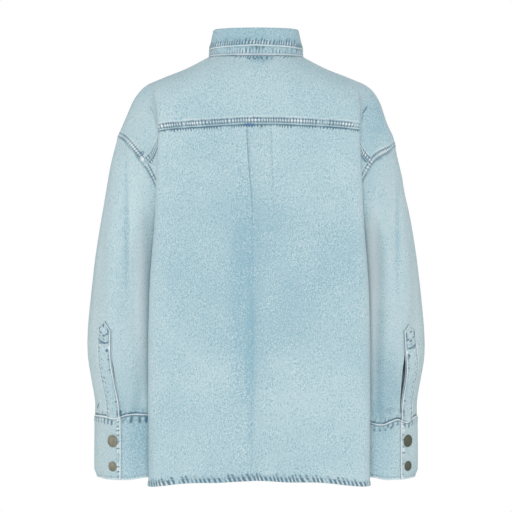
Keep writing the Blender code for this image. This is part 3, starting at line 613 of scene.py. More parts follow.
# Soft troughs (depth below 0) and ridges: which way their cloth faces, the line's two ends (across
# and up), half its width, and its depth. Across is y on an outer side and x behind or in front.
FACINGS = {"back": (0, 1, 0), "front": (0, -1, 0), "left": (1, 0, 0), "right": (-1, 0, 0)}
FOLDS = (
    ("back", 7, -270, 10, -690, 16, -3.0),
    ("back", 40, -300, 36, -680, 26, 2.2),
    ("back", -28, -330, -30, -660, 20, 1.6),
    ("back", -88, -220, -70, -560, 30, -1.8),
    ("back", -128, -300, -118, -670, 22, 1.8),
    ("back", 96, -240, 84, -520, 26, -1.4),
    ("back", 132, -260, 128, -640, 20, 1.5),
    ("back", 60, -20, 120, -86, 22, -1.2),
    ("back", -60, -16, -126, -84, 22, -1.2),
    ("back", 207, -150, 206, -420, 9, -2.6),
    ("back", 222, -190, 226, -470, 12, 1.8),
    ("back", 188, -330, 194, -540, 10, 1.8),
    ("back", 241, -260, 247, -500, 9, -1.6),
    ("back", -222, -190, -226, -420, 10, -2.4),
    ("back", -204, -240, -206, -520, 13, 1.8),
    ("back", -186, -380, -190, -560, 9, -1.8),
    ("back", -246, -300, -250, -520, 9, 1.2),
    ("front", 60, -150, 70, -640, 24, -2.4),
    ("front", -64, -180, -60, -650, 24, -2.2),
    ("front", 110, -230, 104, -600, 22, 2.0),
    ("front", -112, -220, -108, -640, 22, 2.0),
    ("front", 205, -230, 212, -520, 12, -2.4),
    ("front", -208, -210, -206, -500, 12, -2.4),
    ("front", 232, -300, 238, -540, 10, 1.6),
    ("front", -230, -300, -236, -520, 10, 1.6),
    ("left", 20, -200, 6, -520, 12, -2.0),
    ("left", -22, -240, -44, -540, 12, 1.8),
    ("right", 18, -220, -2, -520, 12, -2.0),
    ("right", -26, -230, -48, -540, 12, 1.8),
    ("left", 30, -420, 26, -660, 16, -1.8),
    ("right", 34, -400, 28, -650, 16, -1.8),
)


def folds(points, directions):
    """How far the folds move the cloth: a bell across each line, which wanders a little from side
    to side and fades out towards its two ends.
    """
    moved = np.zeros(len(points))
    for facing, across_a, up_a, across_b, up_b, width, depth in FOLDS:
        axis = 1 if facing in ("left", "right") else 0
        flat = points[:, [axis, 2]]
        start, end = np.array([across_a, up_a], float), np.array([across_b, up_b], float)
        along = np.clip((flat - start) @ (end - start) / np.sum((end - start) ** 2), 0, 1)
        bend = width * 0.35 * wander(along, 0.25, int(abs(depth * 1000 + across_a)))
        offset = flat - start - along[:, None] * (end - start)
        away = np.linalg.norm(offset - np.array([1, 0]) * bend[:, None], axis=1)
        faces = np.clip(directions @ np.array(FACINGS[facing], float), 0, 1)
        taper = ease(along / 0.35 + 0.15) * ease((1 - along) / 0.35 + 0.15)
        moved += depth * bell(away, 0, width) * taper * faces
    return moved


# ---- the wash ----

# Soft patches of cloth: the way it faces, the middle across and up, the half sizes, and how much
# bluer (above 0) or paler it is. Most are the wash's own tone; the rows noted below are painted
# light and painted shade.
TINTS = (
    ("back", -14, -345, 165, 125, 0.22),
    ("back", 8, -470, 6, 160, 0.36),
    ("back", 16, -340, 26, 200, 0.12),
    ("back", 0, -600, 170, 60, 0.05),
    # Painted light: the inner sleeves beside the body, paler to lift the shade that falls there.
    ("back", -202, -330, 36, 200, -0.16),
    ("back", 192, -330, 24, 190, -0.14),
    ("back", 26, -420, 16, 120, 0.12),
    # Painted shade along the sleeves' fold troughs, blue like indigo kept in the creases.
    ("back", 205, -265, 4, 105, 0.34),
    ("back", -224, -285, 4, 85, 0.30),
    ("back", -195, -563, 16, 14, 0.20),
    ("back", -7, -4, 17, 9, 0.55),
    ("back", -205, -515, 34, 62, 0.22),
    ("back", 196, -510, 26, 62, 0.05),
    # Partly painted shade: the right shoulder beyond its fold, darker and bluer.
    ("back", -190, -94, 22, 40, 0.34),
    ("back", 190, -622, 24, 62, 0.28),
    ("back", -205, -622, 20, 62, 0.12),
    ("back", 172, -92, 40, 36, -0.16),
    ("front", 0, -400, 150, 150, 0.10),
    ("front", 205, -520, 34, 62, 0.18),
    ("front", -205, -520, 34, 62, 0.18),
)
# Small spots on the back: across, up, half width, half height, lean in degrees, and how blue
# (above 0) or how white they are. The two noted below are painted shade.
SPOTS = (
    (9.6, -111.6, 7.0, 2.6, 0, 1.6),
    # Painted shade: a dark line along the top of the body's left fold, in two spots.
    (165, -84, 1.2, 11, -26, 0.45),
    (158.5, -104, 1.1, 11, -8, 0.45),
    (-182.5, -66, 1.2, 8, 32, 0.55),
    (-178.5, -72, 1.2, 8, 31, 0.60),
    (-174.5, -79, 1.2, 8, 29, 0.60),
    (-171, -87, 1.2, 8, 24, 0.60),
    (-168, -96, 1.2, 9, 16, 0.60),
    (254, -559, 1.3, 6.0, 22, 1.0),
    (218, -568, 3.0, 4.0, 0, 0.8),
    (-233, -566, 3.0, 4.5, 0, 0.8),
    (-214, -564, 14, 5, -14, 0.32),
    (-8.0, -116, 4.0, 2.6, 0, 0.35),
    (5.6, -103, 1.0, 3.6, 8, 0.6),
    (1.6, -103, 1.0, 3.4, 4, 0.7),
    (-2.4, -103, 1.0, 3.6, 0, 0.6),
    (181, -154, 3.4, 3.2, 30, 0.9),
    (186, -158, 2.4, 2.0, 20, 0.5),
    (180, -164, 2.6, 3.2, 30, -0.9),
    (-191, -144, 2.0, 2.6, -30, 0.6),
    (-180, -160, 1.6, 3.0, 30, 0.5),
    (-4, 13.5, 13, 3.5, 0, 0.36),
    (-12, 12, 1.2, 5, -20, 0.4),
    (-1, 12, 1.2, 5, -20, 0.5),
    (6, 12, 1.2, 5, -20, 0.4),
    (16, 10, 1.2, 5, -10, 0.35),
    (-48, 12, 1.3, 6, 0, 0.4),
    (-56, 12, 1.3, 6, 0, 0.5),
    (-64, 12, 1.3, 6, 0, 0.5),
    (-63, 14, 7, 5, 0, 0.16),
    (42, 12, 8, 4, 0, 0.18),
    (40, 28, 24, 3.5, 4, 0.16),
    (-57, 27, 13, 3.5, -6, 0.16),
    (-24, -7.0, 1.3, 5.5, 18, 0.55),
    (-17, -6.0, 1.3, 6.0, 14, 0.65),
    (-10, -6.0, 1.5, 6.5, -30, 0.85),
    (-4, -5.0, 1.2, 5.5, -32, 0.75),
    (3, -6.0, 1.4, 6.0, -30, 0.75),
    (10, -6.0, 1.2, 5.0, -28, 0.55),
    (-7, -8.0, 1.0, 5.0, -30, -0.5),
    (-13.5, -8.0, 1.0, 5.0, -30, -0.5),
    (212.8, -582, 1.8, 4.5, 0, 0.6),
    (200.8, -581, 2.0, 4.5, 10, 0.6),
    (185.6, -582, 2.0, 4.5, -8, 0.6),
    (176.0, -581, 2.0, 4.5, 0, 0.6),
    (-189.6, -596, 2.2, 2.8, 0, 0.6),
    (-198.4, -597, 2.2, 2.8, 0, 0.65),
    (-207.2, -596, 2.2, 2.8, 0, 0.6),
    (-216.0, -593, 2.2, 2.8, 0, 0.6),
    (-181.0, -596, 2.2, 2.8, 0, 0.5),
)
# Painted light on the sleeves: pale patches on their inner sides beside the body, which lift the
# shade that falls there, given as the tints are.
PAINTED_LIGHT_PATCHES = (
    ("back", -184, -362, 12, 120, 0.48),
    ("back", -192, -345, 18, 190, 0.18),
    ("back", 184, -385, 12, 140, 0.45),
    ("back", -186, -520, 10, 60, 0.30),
    ("back", 178, -560, 9, 60, 0.25),
)
# Warm, greyer patches, given likewise.
WARMTHS = (
    ("back", 258, -330, 16, 260, 0.75),
    ("back", -258, -330, 16, 260, 0.75),
    ("back", 246, -620, 20, 70, 0.75),
    ("back", -246, -620, 20, 70, 0.60),
    ("back", 200, -120, 34, 60, 0.25),
)


def patches(rows, points, directions):
    """How much a table's patches change each point: level within a patch, with soft edges."""
    total = np.zeros(len(points))
    for facing, across, up, half_width, half_height, amount in rows:
        r = ((points[:, 0] - across) / half_width) ** 2 + ((points[:, 2] - up) / half_height) ** 2
        faces = ease(directions @ np.array(FACINGS[facing], float) * 2)
        total += amount * np.exp(-(r**1.5)) * faces
    return total


def marks(points, directions):
    """How much blue and how much white the spots give to each point: soft leaning ovals."""
    total = np.zeros(len(points))
    for across, up, half_width, half_height, lean, amount in SPOTS:
        turn = np.radians(lean)
        right, over = points[:, 0] - across, points[:, 2] - up
        a = (right * np.cos(turn) + over * np.sin(turn)) / half_width
        b = (over * np.cos(turn) - right * np.sin(turn)) / half_height
        total += amount * np.exp(-((a * a + b * b) ** 1.5))
    total = total * ease(directions[:, 1] * 3)
    return np.maximum(total, 0), np.maximum(-total, 0)


# Where the sleeves are eased into their cuffs: puckers round each, how far up, and how deep.
GATHERS_ROUND = 11
GATHERS_REACH = 62
GATHERS_DEPTH = 1.5


def gathers(points):
    """Small upright puckers where each sleeve is eased into its cuff: waves that fade upwards."""
    height = points[:, 2] - CUFF_TOP
    arm = (np.abs(points[:, 0]) > 163) & (height > -1)
    out, back = np.abs(points[:, 0]) - CUFF_CENTRE[0], points[:, 1] - CUFF_CENTRE[1]
    around = np.degrees(np.arctan2(back, out))
    phase = np.radians(around) * GATHERS_ROUND + 1.5 * wander(around, 40, 5)
    wave = np.sin(phase) * (0.6 + 0.4 * wander(around, 25, 9))
    faded = ease(1 - height / GATHERS_REACH) * ease(height / 5 + 0.25)
    return np.where(arm, GATHERS_DEPTH * wave * faded, 0)


def pleat_rise(points):
    """How far the pleat stands out of the back panel: least in its seam, most just below."""
    down = PLEAT_TOP - points[:, 2]
    fade = ease((points[:, 2] - PLEAT_FOOT) / (PLEAT_TOP - PLEAT_FOOT))
    held = 0.25 + 0.75 * ease(down / 30)
    inside = (np.abs(points[:, 0]) < PLEAT_HALF_WIDTH - 0.3) & (points[:, 1] > 0) & (down > -1)
    return np.where(inside, PLEAT_RISE * fade * held, 0)


# Where the cuffs' top seams sag (below 0) or are drawn up: across, half its width and the height.
CUFF_SAGS = (
    (178, 10, 2.4),
    (198, 18, 4.6),
    (228, 11, -3.6),
    (-196, 28, -12.5),
    (-243, 11, -9.0),
)


def hang(points):
    """The shirt's slight lopsidedness: the body hangs a little to the right of its collar.

    The shift is full within the body's folds and fades out over the sleeves, the shoulders' tops
    and the collar. The pleat's edges drift to the right too as they run down, the left one more.
    The left armhole keeps its place, and the right shoulder's tip hangs lower than the left one,
    with a rounder seam. The hem and the cuffs' top seams wave, the cuffs' lower corners beside the
    body are drawn up, and their outer ones are rounded. The right slit and the placket beside it
    stand further in and a little lower. All of this is made of ramps and bells along the axes.
    """
    x, y, z = points[..., 0], points[..., 1], points[..., 2]
    width = np.abs(x)
    body = (width < 165) | (y < -90) | (y > 40)

    inner = 1 - ramp(width, 172, 60)
    left_arm = (x > 140) * ramp(y, 74, -16) * ramp(y, 15, 20) * ramp(z, -285, 60)
    shift = -5.0 * inner * ramp(z, -30, -80) * (1 - 0.85 * left_arm)
    pleat = 8.5 * bell(x, 19, 18) + 4.5 * bell(x, -19, 18)
    drift = -pleat * ramp(z, -115, -150) * (y > 0)

    wave = 0.9 * np.sin(x / 17 + 1) * ramp(z, -640, -30) * body
    for across, half, height in CUFF_SAGS:
        sag = np.exp(-(((x - across) / half) ** 2) - ((z - CUFF_TOP) / 24) ** 2)
        wave += height * sag * (width > 160)
    wave -= 1.4 * ramp(x, 15, 60) * bell(z, -113, 30) * (y > 62)
    wave += 5.0 * ramp(width, 212, -36) * ramp(z, -630, -42) * ~body

    right_tip = ramp(z, -215, 60) * (1 - ramp(z, -100, 60))
    wave -= (17.5 * ramp(x, -174, -38) - 3.0 * ramp(x, -208, -14)) * right_tip
    rounding = 3.5 * bell(z, -106, 18) - 2.5 * bell(z, -212, 30)
    shift = shift - rounding * ramp(x, -190, -30)

    slit = bell(x, -250, 18) * ramp(y, -30, 25) * ramp(z, -502, 46)
    slit = slit * (1 - ramp(z, -415, 30))
    shift = shift + 5.0 * slit
    wave -= 7.0 * slit * ramp(z, -441, 16)

    corner = ramp(width, 238, 22) * ramp(z, -661, -16) * ~body
    shift = shift - 4.5 * np.sign(x) * corner
    return points + np.stack([shift + drift, 0 * x, wave + 1.5 * corner], axis=-1)


# ---- grids and meshes ----


def mirrored(grid):
    """The other side's grid, with its columns turned round so that it faces outwards too."""
    return (grid * [-1, 1, 1])[:, ::-1]


def both_sides(grid):
    """A half grid whose first column is the middle, joined with its mirror image."""
    return np.concatenate([mirrored(grid)[:, :-1], grid], axis=1)


def quads(rows, columns):
    """The faces of a grid: its points' numbers, once round each cell."""
    i, j = np.meshgrid(np.arange(rows - 1), np.arange(columns - 1), indexing="ij")
    a = (i * columns + j).ravel()
    return np.stack([a, a + 1, a + columns + 1, a + columns], axis=-1)


def face_directions(corners):
    """The direction that each face looks in, with twice its area as its length."""
    return np.cross(corners[:, 2] - corners[:, 0], corners[:, 3] - corners[:, 1])


def summed(vectors, numbers, count):
    """For each of so many points, the sum of the vectors that are given with its number."""
    return np.stack([np.bincount(numbers, vectors[:, k], count) for k in range(3)], axis=-1)


def corner_normals(points, faces):
    """Each point's direction: the mean of its faces' directions, weighted by their area."""
    facing = np.repeat(face_directions(points[faces]), 4, axis=0)
    return unit(summed(facing, faces.ravel(), len(points)))


def grid_normals(grid):
    """The directions of a grid's points, as a grid."""
    return corner_normals(grid.reshape(-1, 3), quads(*grid.shape[:2])).reshape(grid.shape)


def welded(points):
    """The first of each set of points that coincide, and each point's set, by number."""
    key = np.round(points / WELD).astype(np.int64) @ np.array([1, 1 << 21, 1 << 42])
    _, first, index = np.unique(key, return_index=True, return_inverse=True)
    return first, index.reshape(-1)


def cloth_coordinates(grid):
    """Each point's place on the flat cloth: along its row from the middle, and up its column."""
    across = lengths(grid, axis=1)
    across -= across[:, across.shape[1] // 2][:, None]
    return np.stack([across, lengths(grid)], axis=-1)


def with_channels(points, directions, offset):
    """A grid with every channel: the cloth coordinates start at an offset of the piece's own."""
    cloth = cloth_coordinates(points) + offset
    blank = np.zeros((*points.shape[:2], 2))
    return np.concatenate([points, directions, cloth, blank], axis=-1)


def stacked(grids):
    """The points of several grids in one list, the number at which each starts, and their faces."""
    starts = np.cumsum([0] + [grid.shape[0] * grid.shape[1] for grid in grids])
    points = np.concatenate([grid.reshape(-1, grid.shape[-1]) for grid in grids])
    faces = [quads(*grid.shape[:2]) + start for grid, start in zip(grids, starts)]
    return points, starts, np.concatenate(faces)


def make_skin(grids):
    """The whole shirt's outer form with its folds, as one channelled grid for each name."""
    points, starts, faces = stacked(grids.values())
    first, index = welded(points)
    faces = index[faces]
    joined = points[first]
    directions = corner_normals(joined, faces)
    joined = joined + directions * (folds(joined, directions) + gathers(joined))[:, None]
    directions = corner_normals(joined, faces)
    made = {}
    for number, (name, grid) in enumerate(grids.items()):
        own = index[starts[number] : starts[number + 1]]
        place, direction = joined[own].reshape(grid.shape), directions[own].reshape(grid.shape)
        made[name] = with_channels(place, direction, SKIN_STEP * number)
    return made


def cubic_rows(grid, at):
    """A grid's rows at fractional row numbers, one number for each new row and column."""
    first = np.clip(np.floor(at).astype(int), 0, len(grid) - 2)
    t = (at - first)[..., None]
    longer = np.concatenate([[2 * grid[0] - grid[1]], grid, [2 * grid[-1] - grid[-2]]])
    a, b, c, d = (np.take_along_axis(longer, (first + k)[..., None], axis=0) for k in range(4))
    return b + t / 2 * (c - a + t * (2 * a - 5 * b + 4 * c - d + t * (3 * (b - c) + d - a)))


def along_seam(grid, step):
    """A grid whose row 0 is a seam, resampled so that its columns are evenly spaced along it."""
    run = lengths(grid[0, :, PLACE])
    count = max(int(run[-1] / step), 4)
    at = np.interp(np.linspace(0, run[-1], count), run, np.arange(len(run)))
    turned = np.swapaxes(grid, 0, 1)
    turned = cubic_rows(turned, np.repeat(at[:, None], turned.shape[1], axis=1))
    return np.swapaxes(turned, 0, 1), np.linspace(0, run[-1], count)


def inwards(grid, distances):
    """Rows at these distances in from a grid's row 0, read down its columns."""
    near = grid[: min(len(grid), 9), :, PLACE]
    spacing = lengths(near)[-1] / (len(near) - 1)
    rows = cubic_rows(grid, np.clip(distances[:, None] / spacing, -0.5, len(grid) - 1))
    rows[..., DIRECTION] = unit(rows[..., DIRECTION])
    return rows


def open_edges(faces):
    """Edges that belong to one face only, as it runs: their corners' numbers in the faces."""
    count = faces.max() + 1
    corner = np.arange(faces.size).reshape(faces.shape)
    start, end = faces.ravel(), np.roll(faces, -1, axis=1).ravel()
    follow = np.roll(corner, -1, axis=1).ravel()
    key = np.minimum(start, end).astype(np.int64) * count + np.maximum(start, end)
    _, inverse, seen = np.unique(key, return_inverse=True, return_counts=True)
    lone = (seen[inverse.reshape(-1)] == 1) & (start != end)
    return corner.ravel()[lone], follow[lone]


def link_mesh(name, points, faces, finish, coordinates=None, sharp=None, **values):
    """A mesh object from arrays in millimetres: points, sets of faces, and values by point."""
    mesh = bpy.data.meshes.new(name)
    mesh.vertices.add(len(points))
    mesh.vertices.foreach_set("co", (np.asarray(points) * MM).astype(np.float32).ravel())
    sizes = np.concatenate([np.full(len(f), f.shape[1]) for f in faces])
    corners = np.concatenate([f.ravel() for f in faces])
    mesh.loops.add(len(corners))
    mesh.loops.foreach_set("vertex_index", corners.astype(np.int32))
    mesh.polygons.add(len(sizes))
    loop_starts = np.concatenate(([0], np.cumsum(sizes)[:-1]))
    mesh.polygons.foreach_set("loop_start", loop_starts.astype(np.int32))
    mesh.update(calc_edges=True)
    if coordinates is not None:
        layer = mesh.uv_layers.new(name="cloth")
        layer.data.foreach_set("uv", (coordinates * MM).astype(np.float32).ravel())
    for key, value in values.items():
        layer = mesh.attributes.new(key, "FLOAT", "POINT")
        layer.data.foreach_set("value", (value + np.zeros(len(points))).astype(np.float32))
    mesh.materials.append(finish)
    mesh.shade_smooth()
    if sharp:
        mesh.set_sharp_from_angle(angle=np.radians(sharp))
    made = bpy.data.objects.new(name, mesh)
    bpy.context.scene.collection.objects.link(made)
    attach(made, BODY)
    return made


# Creases sharper than this many degrees are drawn sharp. A rim stands out of its wall's edge by a
# share of its thickness, and by so much at most.
SHARP_CLOTH = 38
SHARP_METAL = 60
RIM_SHARE = 0.28
RIM_MOST = 0.7


def shell(
    name, sheets, outer=LAYER / 2, inner=-LAYER / 2, gap=SEAM_SLACK, tone=0.0, rim_shade=0.0
):
    """Cloth as a closed wall on one or more grids: two skins and a rounded rim along open edges.

    The skins stand at the heights outer and inner, one number or one for each grid point. Points
    of the grids that coincide are one. The open edges first move into the cloth by gap. The faces
    are turned round if they face against the grids' directions. The rim is painted blue by the
    last argument: painted shade beside the piece's raised edge.
    """
    every, _, loose = stacked(sheets)
    facing = face_directions(every[loose][..., PLACE])
    if np.sum(facing * every[loose[:, 0], DIRECTION]) < 0:
        loose = loose[:, ::-1]
    first, index = welded(every[:, PLACE])
    points = every[first]
    faces = index[loose]
    turned = np.roll(faces, 1, axis=1)
    whole = np.all(faces != turned, axis=1)
    loose, faces = loose[whole], faces[whole]
    place, direction = points[:, PLACE], points[:, DIRECTION]
    begin, end = open_edges(faces)
    a, b = faces.ravel()[begin], faces.ravel()[end]
    across = unit(np.cross(direction[a] + direction[b], place[b] - place[a]))
    count = len(place)
    inward = summed(np.tile(across, (2, 1)), np.concatenate([a, b]), count)
    inward = unit(inward) * (np.linalg.norm(inward, axis=1, keepdims=True) > 1e-6)
    top, under = (
        (height[first] if np.ndim(height) else np.full(count, height))[:, None]
        for height in (outer, inner)
    )
    place = hang(place + inward * gap)
    edge = np.unique(np.concatenate([a, b]))
    number = np.zeros(count, int)
    number[edge] = np.arange(len(edge)) + 2 * count
    middle, depth = (top + under)[edge] / 2, (top - under)[edge]
    rounding = inward[edge] * np.minimum(depth * RIM_SHARE, RIM_MOST)
    rim = place[edge] + direction[edge] * middle - rounding
    rim_out = np.stack([b, a, number[a], number[b]], axis=-1)
    rim_in = np.stack([number[b], number[a], a + count, b + count], axis=-1)
    rim_loose = np.stack([end, begin, begin, end], axis=-1)
    flat = every[:, CLOTH]
    coordinates = np.concatenate([
        flat[loose].reshape(-1, 2),
        flat[loose[:, ::-1]].reshape(-1, 2),
        np.tile(flat[loose.ravel()[rim_loose]].reshape(-1, 2), (2, 1)),
    ])
    blue, white = marks(place, direction)
    # Painted light on the sleeves' inner sides beside the body, added to their wear.
    lightened = patches(PAINTED_LIGHT_PATCHES, place, direction) if name.startswith("sleeve") else 0
    wear, deep = points[:, WEAR] + white + lightened, points[:, DEEP] + blue
    # The rim: white with wear, and painted dark blue as shade beside the raised edge.
    wear = np.concatenate([wear, 0 * wear, (0.6 + 0.4 * wear[edge]) * (1 - rim_shade)])
    deep = np.concatenate([deep, 0 * deep, rim_shade + 0 * deep[edge]])
    inside = np.concatenate([np.zeros(count), np.ones(count), np.zeros(len(edge))])
    tone = tone + patches(TINTS, place, direction)
    warm = patches(WARMTHS, place, direction)
    tone, warm = (np.concatenate([v, v, v[edge]]) for v in (tone, warm))
    all_faces = (np.concatenate([faces, faces[:, ::-1] + count, rim_out, rim_in]),)
    places = np.concatenate([place + direction * top, place + direction * under, rim])
    values = {"wear": wear, "deep": deep, "inside": inside, "tone": tone, "warm": warm}
    return link_mesh(name, places, all_faces, DENIM, coordinates, SHARP_CLOTH, **values)


def slip(name, sheet, top, under):
    """A narrow strip of cloth on another piece: its upper face, and one flat face below it.

    The grid's first and last rows go down from the heights of top to the heights of under, whose
    two edges are joined straight across in the cloth below. One face closes each of its two ends.
    """
    rows, columns = sheet.shape[:2]
    place, direction = hang(sheet[..., PLACE]), sheet[..., DIRECTION]
    upper = (place + direction * top[..., None]).reshape(-1, 3)
    lower = [place[k] + direction[k] * under[k][:, None] for k in (0, -1)]
    first, last = np.arange(columns), (rows - 1) * columns + np.arange(columns)
    first_low, last_low = rows * columns + np.arange(2 * columns).reshape(2, columns)
    rise = np.arange(rows) * columns
    walls = [
        np.stack([a[:-1], a[1:], b[1:], b[:-1]], axis=-1)
        for a, b in ((first_low, first), (last, last_low), (last_low, first_low))
    ]
    faces = np.concatenate([quads(rows, columns), *walls])
    caps = np.stack([
        np.concatenate([rise, last_low[:1], first_low[:1]]),
        np.concatenate([rise[::-1] + columns - 1, first_low[-1:], last_low[-1:]]),
    ])
    facing = face_directions(upper[quads(rows, columns)])
    if np.sum(facing * direction[:-1, :-1].reshape(-1, 3)) < 0:
        faces, caps = faces[:, ::-1], caps[:, ::-1]
    flat = [sheet[..., CLOTH].reshape(-1, 2), sheet[0, :, CLOTH], sheet[-1, :, CLOTH]]
    flat = np.concatenate(flat)
    places = np.concatenate([upper, *lower])
    directions = np.concatenate([direction.reshape(-1, 3), direction[0], direction[-1]])
    blue, white = marks(places, directions)
    blank = np.zeros(2 * columns)
    values = {
        "wear": np.concatenate([sheet[..., WEAR].ravel(), blank]) + white,
        "deep": np.concatenate([sheet[..., DEEP].ravel(), blank]) + blue,
        "inside": np.zeros(len(flat)),
        "tone": patches(TINTS, places, directions),
        "warm": patches(WARMTHS, places, directions),
    }
    coordinates = np.concatenate([flat[faces].reshape(-1, 2), flat[caps].reshape(-1, 2)])
    return link_mesh(name, places, (faces, caps), DENIM, coordinates, SHARP_CLOTH, **values)


# ---- sewing ----


def section(*rows):
    """A sewn edge by millimetres in from its fold: how far it stands up, how white and how blue it
    is, and how strongly its puckers show.
    """
    return table("at rise wear deep rung", *rows)


